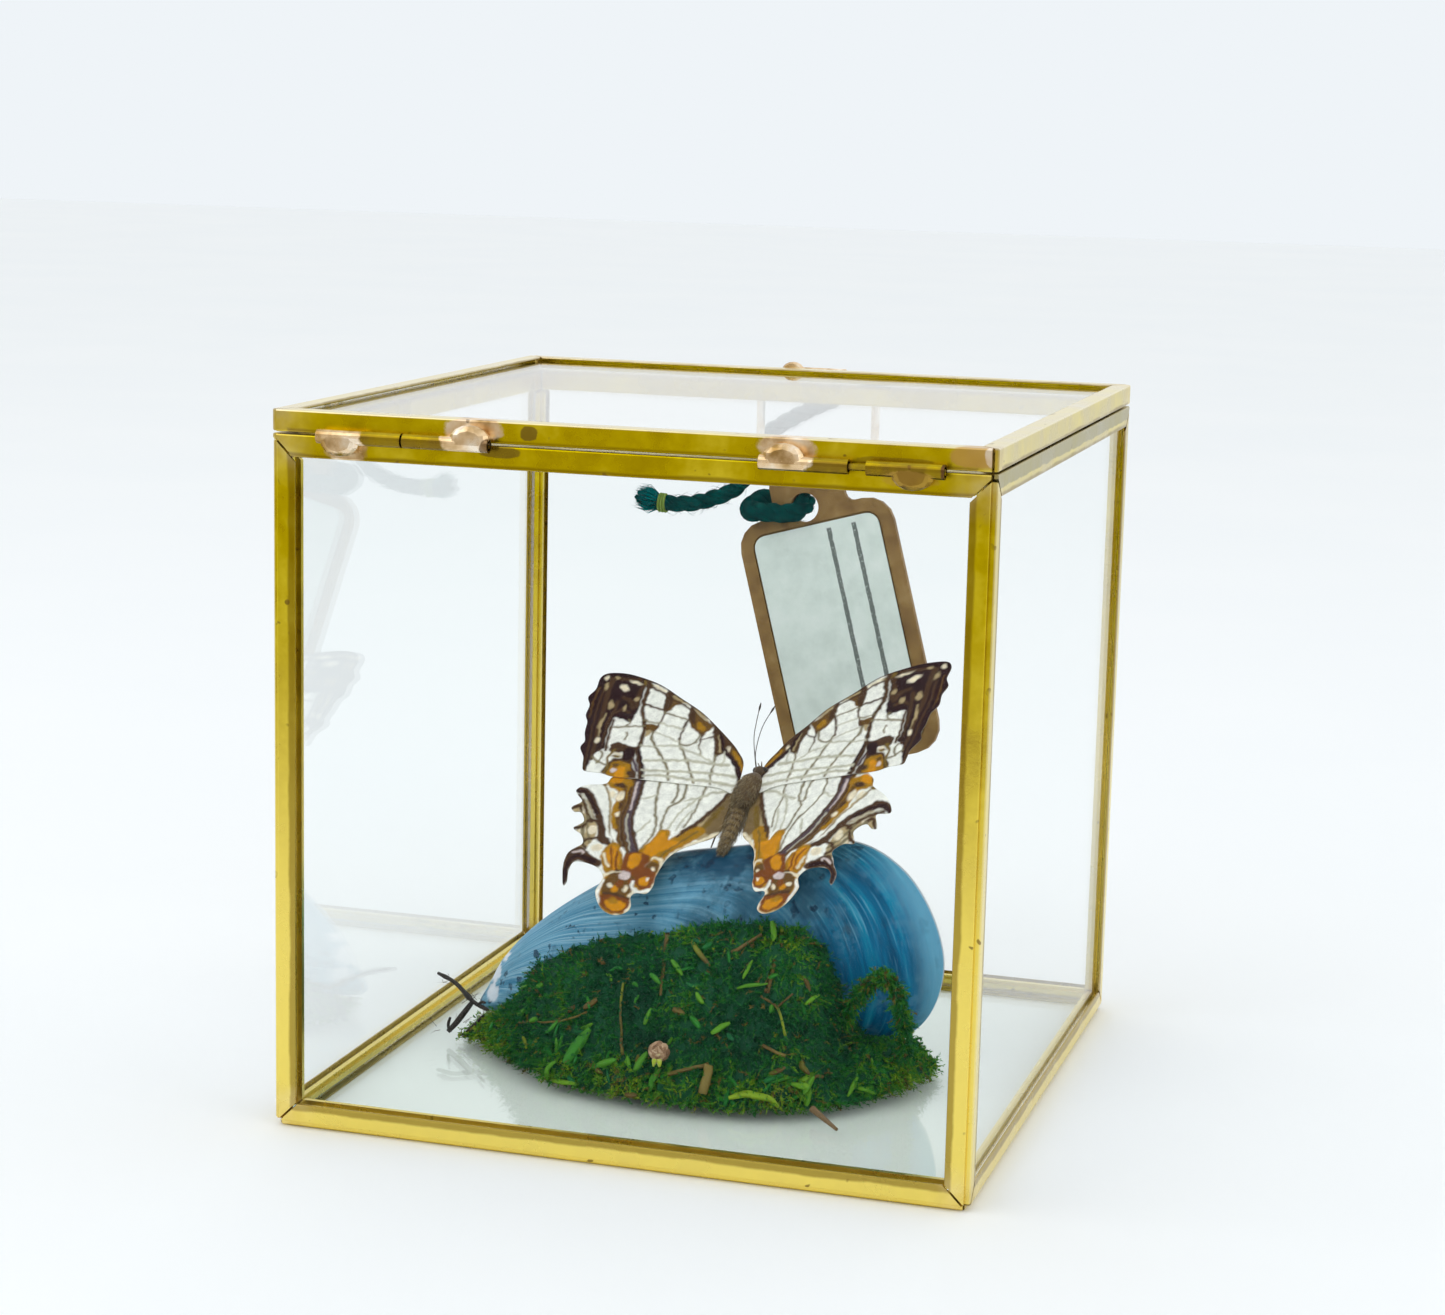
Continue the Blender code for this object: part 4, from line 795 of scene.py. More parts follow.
# Markings in the order in which they are laid on, in millimetres out from the body and
# along it. A field is a closed outline, a line has its width at both ends, and a spot
# has its half width, half height and lean in degrees.
FORE_MARKS = (
    ("field", "ink", ((20.9, 19.2), (21, 17), (20.9, 14), (20.8, 12), (21.2, 9.7), (22.4, 9.9), (24.2, 10),
        (24.2, 6), (23.7, 4), (24.9, 2.8), (26, -1.2), (29.5, 3), (30.5, 14), (30, 20.5), (25, 20.5))),
    ("line", "umber", 0.9, 0.6, ((26.9, 18), (26.7, 14), (26.2, 9), (25.6, 4.5), (25.2, 1.5))),
    ("line", "umber", 0.45, 0.4, ((27.6, 17.2), (27.7, 13), (27.2, 8.6), (26.6, 4.6), (25.9, 0.6))),
    ("line", "bronze", 0.35, 0.35, ((28.5, 16.4), (28.6, 13), (28.2, 10.2))),
    ("line", "ink", 0.55, 0.5, ((28.1, 16.8), (28.2, 12.6), (27.6, 8.2), (27, 4.2), (26.2, 0))),
    ("line", "umber", 0.8, 0.6, ((24.6, 13.6), (24.9, 10), (24.8, 6.6), (24.5, 3.4))),
    ("line", "tan", 0.35, 0.3, ((25.7, 11), (25.8, 8), (25.4, 6.4))),
    ("line", "ink", 0.6, 0.5, ((25.2, 12), (25.4, 9), (25.1, 6), (24.6, 4))),
    ("line", "umber", 0.8, 0.7, ((21.3, 17.4), (21.6, 15.4), (21.3, 13))),
    ("line", "umber", 0.8, 0.8, ((24, 14.6), (22.6, 14), (21.8, 12.6))),
    ("line", "umber", 0.7, 0.5, ((22.2, 11.6), (23.4, 12.2), (24.2, 11.4))),
    ("line", "umber", 0.9, 0.6, ((22.4, 18.5), (25.4, 18.6), (27.2, 18.4))),
    ("spot", "tan", (21.7, 14.5), 0.35, 0.45, 0),
    ("spot", "tan", (23.1, 12.5), 0.32, 0.62, -8),
    ("spot", "tan", (25.6, 12.9), 0.45, 0.85, -5),
    ("spot", "tan", (26.2, 18.7), 0.4, 0.3, 20),
    ("spot", "tan", (27.5, 16.7), 0.3, 0.8, -8),
    ("spot", "cream", (24.4, 16.6), 0.55, 1, -50),
    ("spot", "cream", (22.8, 17.9), 0.3, 1.05, -70),
    ("spot", "cream", (28.1, 18.6), 0.38, 0.5, 0),
    ("spot", "cream", (25.5, 5.5), 0.38, 0.55, 0),
    ("spot", "tan", (26, 8.9), 0.3, 0.9, 0),
    # Gold-brown fields between the bars of the leading edge
    ("field", "bronze", ((7.4, 10.8), (8.3, 9.5), (9.1, 8), (9.8, 8.7), (11.2, 9.8), (12.2, 11.6),
        (12.4, 13.6), (11.3, 12.9), (9.8, 11.7), (8.6, 11))),
    ("field", "gold", ((8.9, 9.4), (9.6, 9.2), (10.6, 10.2), (10.2, 10.9), (9.2, 10.3))),
    ("field", "tan", ((9, 11.2), (10.2, 11.9), (11.8, 13.3), (11.2, 13.4), (9.8, 12.3))),
    ("field", "umber", ((10.9, 10.6), (11.9, 11.2), (12.6, 14), (11.6, 13.2))),
    ("field", "bronze", ((14.4, 15.3), (16.9, 16.2), (16.6, 12.5), (15.6, 12.5), (15.1, 13.6), (14.1, 14.4))),
    ("field", "umber", ((15.6, 15.8), (17.1, 16.4), (16.7, 12.4), (15.9, 12.8))),
    ("field", "tan", ((12.8, 14), (14.6, 14.8), (16, 15.6), (15.6, 15.9), (13.8, 14.9))),
    ("field", "cream", ((17.2, 16.2), (18.6, 16.7), (19.9, 17.3), (19.6, 17.7), (18.4, 17.2), (17.2, 16.6))),
    ("field", "olive", ((19.8, 17.1), (21.4, 17.6), (21.6, 18.6), (20.2, 18))),
    ("field", "tan", ((16.5, 9.3), (18.9, 9.4), (18.3, 8.2), (18, 7), (17.2, 8))),
    ("field", "bronze", ((16.5, 9.4), (18.9, 9.4), (18.3, 8.2), (17.6, 8.4), (16.9, 8.2))),
    # Root
    ("field", "bronze", ((0.2, 1), (1, 4.6), (2.8, 6.6), (4.8, 7.4), (4.2, 5), (2.6, 3.6), (1.4, 0.8))),
    ("field", "gold", ((0.6, 2), (1.2, 4.2), (2.8, 5.9), (3.4, 5.6), (1.9, 3.6), (1.3, 1.6))),
    ("field", "umber", ((3.4, 7.4), (7.2, 10.6), (7.6, 9), (6.6, 7), (6, 4.6), (4.9, 5), (4, 6))),
    ("spot", "cream", (4.2, 6), 0.35, 0.55, 0),
    ("line", "tan", 0.35, 0.3, ((6.4, 8.6), (5.8, 7), (5.3, 5.4))),
    ("line", "ink", 1, 0.6, ((0.7, 0.4), (1.7, 2.6), (3.2, 4.4), (4.8, 5.9))),
    ("line", "ink", 0.55, 0.5, ((6.3, 9), (5.4, 7.4), (4.9, 5.6))),
    # Leading edge
    ("line", "umber", 0.8, 0.55, ((0.8, 3.6), (2.6, 6.1), (4.6, 8.1), (7, 10.3), (9.5, 12.3), (12, 14),
        (15, 15.8))),
    ("line", "ink", 0.45, 0.9, ((12, 14), (15, 15.8), (18, 17.5), (21, 18.8), (24, 19.7), (28, 19.8))),
    ("line", "umber", 0.35, 0.4, ((12.2, 13.1), (14.2, 14.3), (16.4, 15.4), (18.4, 16.5), (20.8, 17.2))),
    # Bars and veins, from the body outwards
    ("line", "umber", 0.75, 0.45, ((7.1, 10.2), (6.9, 8.6), (6.2, 6.6), (5.8, 4.6))),
    ("line", "drab", 0.42, 0.36, ((5.8, 4.6), (5.6, 2.6), (5.4, 0.6), (5, -1.2))),
    ("line", "umber", 0.28, 0.26, ((7, 8.4), (7.9, 7.8), (8.9, 7.3))),
    ("line", "umber", 0.35, 0.3, ((9.1, 8.6), (9, 7.4), (8.9, 6.2))),
    ("line", "drab", 0.3, 0.24, ((8.9, 6.2), (8.5, 5.2), (8.2, 4.4))),
    ("line", "drab", 0.36, 0.36, ((9.4, 8.4), (9.6, 6.9), (10.3, 6.1), (11.2, 5.8), (12, 6.2), (12.4, 7.2))),
    ("line", "umber", 0.5, 0.34, ((12, 13.4), (11.9, 11.8), (12.3, 10), (12.45, 8.4), (12.4, 7))),
    ("line", "drab", 0.45, 0.4, ((11.9, 5.7), (10.9, 4.4), (9.9, 2.8), (8.9, 1), (7.6, -1.3))),
    ("line", "umber", 0.75, 0.5, ((16.8, 16.4), (16.7, 14.6), (16.3, 12.6))),
    ("line", "umber", 0.42, 0.34, ((16.3, 12.6), (16.25, 11), (16.5, 9.4), (17, 8))),
    ("line", "drab", 0.45, 0.45, ((17, 8), (16.9, 6.8), (16, 5.5), (14.6, 3.7), (13.2, 2), (12.2, 0.2),
        (11.7, -1.4))),
    ("line", "umber", 0.9, 0.6, ((20.7, 18.5), (20.4, 16.6), (20.4, 13.8), (19.9, 11.8), (19, 9.8))),
    ("line", "umber", 0.6, 0.8, ((19, 9.8), (18.5, 7.8), (18.3, 5.8), (18.3, 4))),
    ("line", "umber", 0.75, 1.1, ((18.3, 4.2), (17.6, 2.2), (16.7, 0.4), (16.1, -1.6))),
    ("line", "ink", 0.35, 0.55, ((18, 4), (17.3, 2.3), (16.4, 0.6), (15.9, -1.4))),
    ("line", "mauve", 0.55, 0.55, ((18.9, 2.6), (18, 1.4), (17.2, 0))),
    ("line", "umber", 0.4, 0.45, ((16.8, 12.7), (18.4, 13.1), (20.5, 13.8))),
    ("line", "drab", 0.32, 0.4, ((12.4, 11.1), (14.4, 11.6), (16.3, 12.1))),
    ("line", "mist", 0.28, 0.28, ((12.5, 9.2), (14.4, 9.5), (16.3, 9.9))),
    ("line", "drab", 0.24, 0.24, ((16.5, 9.9), (18, 9.9), (19.2, 10.2))),
    ("line", "mist", 0.26, 0.26, ((12.4, 6.4), (14.4, 7.3), (16.6, 8))),
    ("line", "mist", 0.32, 0.32, ((12, 5.5), (14, 5.4), (16, 5), (18.2, 5))),
    ("line", "mist", 0.3, 0.3, ((6.2, 3.3), (8.3, 4.3), (10.6, 4.9), (12, 5.6))),
    ("line", "mist", 0.55, 0.5, ((3.2, 3), (6.4, 2.9), (9.6, 3), (13, 2.6), (16.6, 2.1))),
    ("line", "mist", 0.5, 0.5, ((1.6, 0.8), (5, 0.9), (9, 0.7), (13, 0.4), (16.4, 0.2))),
    ("line", "mist", 0.55, 0.5, ((1.4, -0.9), (5, -0.7), (9, -0.8), (13, -0.6), (15.8, -0.9))),
    ("line", "mist", 0.3, 0.26, ((4.6, 5.4), (4.2, 4), (4.4, 2.6))),
    # Window of the outer third
    ("line", "drab", 0.3, 0.34, ((18.7, 9), (21, 8.7), (24.2, 8.1))),
    ("line", "drab", 0.26, 0.3, ((21.6, 10), (21.2, 9.4), (21.6, 8.8))),
    ("line", "drab", 0.35, 0.35, ((21.3, 7.5), (21, 6.8), (21.1, 6.1))),
    ("line", "umber", 0.45, 0.5, ((24.1, 9.8), (24, 7.6), (23.8, 5.4), (23.4, 3.6))),
    # Brown arch and tornus
    ("field", "umber", ((18.4, 4.2), (19.8, 4.7), (21.8, 5.4), (23, 4.9), (22.8, 3.4), (21.9, 2.9),
        (20.6, 3.2), (20.4, 2.2), (21.6, 1.9), (22.4, 0.6), (22.6, -1.2), (17.6, -1.8), (16.9, -1),
        (18.4, 1.4))),
    ("field", "ink", ((18.6, 3.8), (20, 4.2), (20.4, 3.2), (20.2, 2), (18.9, 1.9))),
    ("field", "gold", ((18.8, 1.2), (21.2, 1.4), (21.8, 0.2), (21.6, -1.6), (18.4, -1.8), (18.2, -0.4))),
    ("field", "orange", ((19.2, 0.4), (20.2, 0.6), (20.5, -0.4), (20.4, -1.8), (19, -1.8), (19.2, -0.6))),
    ("spot", "umber", (18, -0.6), 0.75, 0.55, 0),
    ("spot", "bronze", (20.9, 0.7), 0.55, 0.4, 0),
    ("spot", "olive", (21.3, 2.4), 0.8, 0.3, 0),
    ("spot", "cream", (21.2, 2.9), 0.65, 0.28, 15),
    ("spot", "lilac", (21, -0.3), 0.42, 0.42, 0),
    ("line", "olive", 0.5, 0.4, ((22, 3.6), (22.6, 2), (22.2, 0.4), (22.5, -1))),
    ("line", "drab", 0.4, 0.35, ((22.4, 0.6), (23.8, 1), (25.2, 1.9))),
    ("line", "drab", 0.4, 0.35, ((24, 3.2), (23.6, 2), (24, 0.9))),
    ("line", "umber", 0.5, 0.5, ((26.4, 1.4), (26, 0.2), (25.6, -0.8))),
)
HIND_MARKS = (
    # Inner margin
    ("field", "tan", ((0.8, -2), (2.6, -4.6), (4.8, -8.4), (4.4, -11.8), (1, -11))),
    ("field", "fur", ((0.6, -0.6), (1.5, -1.6), (2.5, -4.4), (3.5, -7.4), (3.9, -9.8), (2.6, -10.6),
        (0.8, -9.8))),
    ("line", "olive", 0.8, 0.9, ((2, -5.4), (3.2, -8.4), (4.4, -10.4))),
    ("line", "cream", 0.55, 0.5, ((1.4, -10.2), (3.8, -12.3), (5.8, -13.8), (7.3, -16.2))),
    ("field", "gold", ((3.2, -10.2), (5, -9.2), (6.8, -10.4), (8.3, -12.7), (8.5, -10.9), (10.2, -10.7),
        (10.8, -12.8), (12.3, -15.6), (11.8, -18.4), (9.3, -16.8), (8.1, -17), (7.2, -15.2), (5.2, -13))),
    ("field", "orange", ((8.6, -12.4), (9.4, -11), (10.4, -12.4), (11.3, -14.6), (11.6, -16.8), (9.8, -16),
        (8.8, -15), (7.4, -14.4), (6, -12.8), (7.2, -12.6))),
    ("line", "olive", 0.35, 0.3, ((4.4, -10.2), (6.2, -12.6), (7.8, -14.8), (8.9, -16.4))),
    ("line", "umber", 0.6, 0.7, ((1.6, -0.8), (2.2, -3.4), (3.2, -5.8), (4.6, -8.2), (6.2, -10.2))),
    ("line", "umber", 0.7, 0.5, ((5.2, -9.2), (6.4, -10.4), (7.3, -11.8))),
    # Veins of the white disc
    ("line", "drab", 0.36, 0.34, ((5.6, 1), (5.6, -1.6), (5.8, -4.6), (6, -7), (6.8, -9.8))),
    ("line", "mist", 0.4, 0.34, ((6, -3.6), (7.2, -5.6), (8.3, -7.8), (9.1, -10.4))),
    ("line", "mist", 0.34, 0.3, ((6.3, -6.6), (7.2, -8.4), (7.8, -10.6))),
    ("line", "drab", 0.42, 0.38, ((8.9, -0.6), (8.5, -2.8), (8.7, -4.8), (10, -6.2), (10.3, -8.4),
        (10.2, -10.8))),
    ("line", "drab", 0.36, 0.4, ((11.6, -0.9), (10.2, -1.6), (9.6, -3.6), (9.9, -5.4))),
    ("line", "drab", 0.42, 0.38, ((11.6, -0.9), (12.8, -1.8), (12.6, -4.6), (12, -7.4), (11.2, -9.6),
        (11.1, -12), (12, -14.8))),
    ("line", "mist", 0.45, 0.4, ((2.2, -2), (4.4, -2.6), (5.7, -3.6), (7.9, -4.6))),
    ("line", "mist", 0.45, 0.4, ((1.8, 0), (5, -0.4), (8, -1), (12, -1), (15.6, -1.6))),
    ("line", "mist", 0.35, 0.3, ((12.2, -9.4), (13, -10.8), (13.9, -12.2))),
    ("line", "mist", 0.35, 0.3, ((12.7, -4.2), (14.2, -5), (15.4, -5.2))),
    # Double band of the outer third
    ("field", "mauve", ((15.2, 0.6), (15.2, -4), (15, -8.6), (14, -11.8), (12.2, -15.4), (10.8, -18),
        (13.6, -17.4), (15.2, -14), (16.6, -10), (16.9, -5), (17.2, -1))),
    ("line", "lilac", 0.45, 0.25, ((16.4, -2.4), (16.2, -5), (16, -7.6))),
    ("line", "mist", 0.3, 0.2, ((16, -8.6), (15.6, -11), (14.6, -13.2), (13.6, -15.4))),
    ("line", "umber", 0.5, 0.45, ((16.2, -0.4), (15.5, -2.4), (15.3, -5.4), (15.2, -8.4), (14.7, -10.6),
        (13.7, -12.8), (12.6, -15), (11.2, -17.6))),
    ("line", "bronze", 0.75, 0.75, ((17.4, -1.2), (16.9, -4), (16.7, -7), (16.6, -10), (15.6, -12.8),
        (14.2, -15.4), (13.7, -17))),
    ("field", "gold", ((17.3, -2), (19.8, -1.4), (21.6, -2.4), (20.2, -3.8), (19, -4.4), (18.8, -7.2),
        (18.2, -10.4), (17, -12), (17, -8), (17, -4.8))),
    ("field", "orange", ((19, -1), (20.6, -1.2), (20.8, -2.4), (19.2, -3.2), (18.8, -2))),
    ("spot", "umber", (18.9, -3.2), 1.1, 0.5, 10),
    ("line", "olive", 0.6, 0.5, ((21, -1.6), (21.8, -2.8), (21.2, -3.4))),
    ("line", "bronze", 0.8, 0.8, ((17.9, -4), (17.4, -7), (17.3, -10), (16.4, -12.6), (15.3, -14.8))),
    ("line", "umber", 0.4, 0.4, ((17.1, -3.4), (16.8, -6.4), (16.8, -9.6), (15.9, -12.2), (14.6, -15))),
    ("spot", "umber", (17.9, -7), 0.45, 0.6, 0),
    ("spot", "umber", (17.5, -10.6), 0.4, 0.7, -15),
    ("line", "gold", 0.8, 0.7, ((18.4, -7), (18.2, -9.2), (17.2, -11.4))),
    ("line", "olive", 0.3, 0.3, ((21, -3.8), (19.6, -6.6), (18.7, -9.4), (17.9, -12), (16.6, -14.2))),
    ("line", "tan", 0.3, 0.3, ((20.4, -4.4), (19.3, -7), (18.3, -10.2))),
    ("spot", "cream", (18.3, -5.2), 0.62, 0.95, 0),
    ("spot", "cream", (19.6, -5), 0.45, 0.75, -20),
    ("spot", "cream", (17.7, -8.8), 0.38, 0.5, 0),
    ("spot", "white", (17.1, -12.7), 0.5, 0.95, -15),
    ("spot", "white", (14.5, -16.2), 0.4, 0.95, -15),
    # Dark band that ends in the upper point, and its scallops
    ("field", "tan", ((23.4, -6.4), (25.2, -7.8), (24.6, -9.2), (23.2, -11.4), (22.6, -15.6), (20.4, -15.4),
        (19.9, -12), (21.2, -9.6))),
    ("spot", "cream", (23.4, -8.6), 0.6, 0.8, 0),
    ("spot", "cream", (22.2, -12.6), 0.55, 0.8, 0),
    ("spot", "bronze", (21.6, -9.9), 0.55, 0.55, 0),
    ("line", "umber", 1.3, 1, ((25.2, -4.6), (23.6, -5.2), (21.9, -7.4), (20.4, -9.6), (19.4, -11.6),
        (18.5, -13.4), (17.2, -14.6))),
    ("line", "ink", 0.6, 0.4, ((25.5, -4.9), (24.2, -5), (22.6, -6.6), (20.9, -9))),
    ("line", "mist", 0.35, 0.3, ((24.4, -5.6), (22.6, -8), (21, -10.4))),
    ("line", "umber", 0.55, 0.45, ((24.9, -5.6), (23.5, -7.4), (22.4, -9.2), (21.3, -10.8))),
    ("line", "umber", 0.7, 0.6, ((25.2, -8.2), (24.2, -7.6), (23.6, -8.6))),
    ("line", "drab", 0.6, 0.6, ((23.6, -8.8), (22.7, -10.6), (22, -13), (21.2, -15))),
    ("line", "drab", 0.45, 0.4, ((22.2, -9.8), (21.4, -12.2), (20.4, -14.6))),
    ("line", "umber", 0.65, 0.5, ((23.6, -12.2), (22.6, -12), (22, -11.2))),
    ("line", "umber", 0.55, 0.5, ((21.9, -10.6), (20.6, -10.5), (19.6, -11.2))),
    ("spot", "cream", (20.6, -12.2), 0.72, 0.85, 0),
    ("line", "umber", 0.8, 0.7, ((19.4, -11.4), (19.2, -13.4), (18.2, -14.4))),
    ("line", "umber", 0.55, 0.45, ((19.2, -13.6), (20.6, -13.9), (21.4, -14.6), (20.6, -15.8))),
    ("spot", "cream", (18.9, -15.5), 0.95, 0.75, 0),
    # Orange column above the lower lobe
    ("field", "gold", ((15.8, -14.4), (17.2, -14.6), (17.8, -16.8), (17, -18.8), (15.6, -20.4), (13.8, -20),
        (13.9, -17.6))),
    ("field", "orange", ((16.2, -14.8), (17.2, -16), (16, -18.4), (14.6, -19.6), (14.6, -17.2))),
    ("line", "cream", 0.45, 0.35, ((17.4, -16.6), (16.7, -17.8), (16, -18.8))),
    ("line", "rust", 0.4, 0.4, ((15.4, -16), (15, -18), (14.4, -19.6))),
    ("line", "rust", 0.35, 0.3, ((16.6, -15.2), (16, -17), (15.4, -19))),
    ("spot", "umber", (14, -19.6), 0.8, 0.5, 20),
    # Dark tail
    ("field", "umber", ((17.2, -18.2), (19.4, -17), (21.2, -15.6), (22.6, -16.2), (23.2, -17.6), (23, -20.2),
        (21.9, -23.2), (21.4, -22.2), (21.8, -20), (21, -18.4), (18, -19.3))),
    ("line", "ink", 0.8, 0.5, ((18.4, -18.3), (20.6, -17.5), (22, -17.9), (22.4, -20), (21.9, -22.8))),
    ("line", "lilac", 0.4, 0.4, ((20.6, -16.8), (21.2, -16.4), (22.2, -16.8))),
    # Two lobes with orange spots
    ("field", "cream", ((8, -16.6), (9.6, -16.2), (10.2, -18.4), (12, -19.6), (13.6, -19.4), (16.4, -20.4),
        (16.6, -24.4), (14, -27.9), (10, -27.4), (10.6, -23.2), (8.2, -23.4), (7.6, -20))),
    ("field", "gold", ((8.4, -17), (9.7, -16.7), (10.5, -18.9), (12, -19.9), (13.6, -19.8), (15.9, -20.8),
        (16, -24.1), (13.9, -27.3), (11, -27), (11.3, -23.5), (10.3, -22.7), (8.7, -22.7), (8.2, -20))),
    ("field", "bronze", ((8.2, -17.6), (9.8, -17), (10.4, -18.4), (10.2, -19.6), (8.6, -19.4))),
    ("spot", "cream", (9, -18.4), 0.34, 0.45, 0),
    ("field", "rust", ((10.2, -16.2), (13.4, -15.8), (14, -18.6), (12.6, -20.6), (11, -20.4), (10.4, -18.6))),
    ("field", "orange", ((11.6, -16), (13, -16.2), (13.2, -18.2), (12.2, -18.8), (11.4, -17.6))),
    ("field", "rust", ((8.2, -19.4), (10.6, -18.2), (11.2, -20.2), (10.8, -21.6), (9.6, -22.5), (8.4, -22))),
    ("field", "bronze", ((11.4, -20.2), (14.8, -19.8), (15.7, -22), (15.2, -24.2), (12.6, -24.4),
        (11, -23.2))),
    ("spot", "lilac", (12.9, -20.2), 0.95, 0.85, 15),
    ("spot", "cream", (14.6, -22.4), 0.55, 0.4, 40),
    ("spot", "cream", (12, -22.7), 0.35, 0.6, 10),
    ("spot", "orange", (13.6, -22.9), 0.6, 0.7, 0),
    ("spot", "rust", (13.2, -21.9), 0.55, 0.85, 0),
    ("spot", "rust", (11.4, -21.2), 0.6, 0.5, 0),
    ("line", "umber", 0.9, 0.6, ((11.2, -24.6), (12.8, -24.2), (14.9, -24))),
    ("field", "rust", ((10.9, -24.6), (14.8, -24.2), (15.6, -25.2), (13.8, -26.9), (12, -27.3),
        (10.8, -26.4))),
    ("line", "white", 0.55, 0.5, ((8.3, -22.4), (9.8, -23), (11, -22.4), (11.3, -21.2))),
    ("line", "white", 0.45, 0.4, ((15.9, -21.4), (16.1, -23.6), (15.4, -25.6))),
    ("field", "orange", ((8.9, -20.4), (9.8, -20), (10.5, -20.8), (10, -21.8), (9, -21.7))),
    ("field", "orange", ((11.4, -25.2), (12.9, -24.9), (14.4, -25.2), (13.8, -26.4), (12.4, -26.9),
        (11.3, -26.4))),
    ("spot", "gold", (13.2, -25.1), 0.8, 0.55, 10),
    ("spot", "white", (9.2, -20.5), 0.22, 0.34, 0),
)


def polyline_distance(points, knots, closed=False):
    """Each point's distance to the line through the knots, and how far along it is."""
    starts = knots
    ends = np.roll(knots, -1, axis=0)
    if not closed:
        starts, ends = starts[:-1], ends[:-1]
    run = ends - starts
    length = np.maximum((run ** 2).sum(1), 1e-12)
    offset = points[:, None, :] - starts[None]
    share = np.clip((offset * run[None]).sum(2) / length[None], 0, 1)
    gap = offset - share[:, :, None] * run[None]
    far = np.sqrt((gap ** 2).sum(2))
    nearest = far.argmin(1)
    rows = np.arange(len(points))
    along = (nearest + share[rows, nearest]) / len(starts)
    return far[rows, nearest], along


def inside_outline(points, knots):
    """Which points lie inside a closed outline."""
    found = np.zeros(len(points), bool)
    previous = knots[-1]
    for knot in knots:
        crosses = (knot[1] > points[:, 1]) != (previous[1] > points[:, 1])
        rise = previous[1] - knot[1]
        at = knot[0] + (points[:, 1] - knot[1]) * (previous[0] - knot[0]) / (rise if rise else 1e-9)
        found ^= crosses & (points[:, 0] < at)
        previous = knot
    return found


def mark_depth(places, mark):
    """How far inside a marking each place lies, in millimetres."""
    if mark[0] == "field":
        outline = rounded(mark[2], True, 4)
        far, _ = polyline_distance(places, outline, True)
        return np.where(inside_outline(places, outline), far, -far)
    if mark[0] == "line":
        far, along = polyline_distance(places, rounded(mark[4], False))
        return (mark[2] + (mark[3] - mark[2]) * along) / 2 - far
    half_width, half_height, lean = mark[3], mark[4], math.radians(mark[5])
    gap = places - np.array(mark[2])
    wide = (gap[:, 0] * math.cos(lean) + gap[:, 1] * math.sin(lean)) / half_width
    tall = (gap[:, 1] * math.cos(lean) - gap[:, 0] * math.sin(lean)) / half_height
    return (1 - np.sqrt(wide ** 2 + tall ** 2)) * min(half_width, half_height)


def paint_marks(places, marks, seed):
    """Colours of the wing at flat places, laid on mark by mark."""
    colours = np.tile(np.array(WING_COLOURS["white"]), (len(places), 1))
    wobble = np.array([[noise.noise(Vector((x * 1.3, y * 1.3, layer))) for layer in (seed, seed + 9.0)]
                       for x, y in places])
    moved = places + wobble * MARK_WOBBLE
    for mark in marks:
        cover = np.clip(mark_depth(moved, mark) / MARK_EDGE + 0.5, 0, 1)[:, None]
        colours = colours * (1 - cover) + np.array(WING_COLOURS[mark[1]]) * cover
    return colours


def wing_sheet(outline):
    """Flat places and triangles that fill a wing's outline."""
    edge = rounded(outline, True, 8)
    low, high = edge.min(0), edge.max(0)
    rise = WING_GRID * ROW_SHARE
    rows = int((high[1] - low[1]) / rise) + 1
    columns = int((high[0] - low[0]) / WING_GRID) + 2
    grid = np.array([(low[0] + (column + 0.5 * (row % 2)) * WING_GRID, low[1] + row * WING_GRID * ROW_SHARE)
                     for row in range(rows) for column in range(columns)])
    grid = grid[inside_outline(grid, edge)]
    far, _ = polyline_distance(grid, edge, True)
    grid = grid[far > WING_GRID * 0.6]
    flat = [Vector(place) for place in np.vstack((edge, grid))]
    loop = [(index, (index + 1) % len(edge)) for index in range(len(edge))]
    made = delaunay_2d_cdt(flat, loop, [], 1, 1e-6)
    return np.array([tuple(place) for place in made[0]]), [tuple(face) for face in made[2]]


def lean_right_forewing(places):
    """The right forewing leans a little towards the body at its front edge."""
    x, y = places.T
    share = np.clip((x - OUTLINE_START) / 4.0, 0, 1) * np.clip((28.5 - x) / 9.0, 0, 1)
    return np.stack((x + (RIGHT_FORE_LEAN_FROM - y) * RIGHT_FORE_LEAN * share, y), 1)


def hang_right_hindwing(places):
    """The right hindwing as it hangs: its outer point lower, its lobes higher."""
    x, y = places.T
    reach = (x - OUTLINE_START) / WING_REACH
    along, across = zip(*RIGHT_HIND_SHIFTS)
    shift = np.interp(y, along, across) * np.clip((x - OUTLINE_START) / 8.0, -1, 1)
    sag = RIGHT_HIND_SAG * reach ** 6 * np.clip((y + 23.0) / 6.0, 0, 1)
    lift = RIGHT_HIND_LIFT * np.clip((-18.0 - y) / 6.0, 0, 1) * (1.0 - reach)
    return np.stack((x + shift, y - sag + lift), 1)


def wing_look():
    """Scaled membrane with its painted markings."""
    made, look, shader = new_look("wing_scales")
    scales = look.noise(6500.0, 1.0)
    shade = look.step(scales * 0.5 + look.noise(900.0) * 0.5, 0.25, 0.75, 0.72, 1.12)
    colour = look.mix(1.0, look.attribute("marking", "Color"), look.joined(shade, shade, shade), "MULTIPLY")
    settle(look, shader, Base_Color=colour, Roughness=0.62, Normal=look.bump(scales, 0.25, 0.05 * MM))
    shader.inputs["Specular IOR Level"].default_value = 0.15
    return made


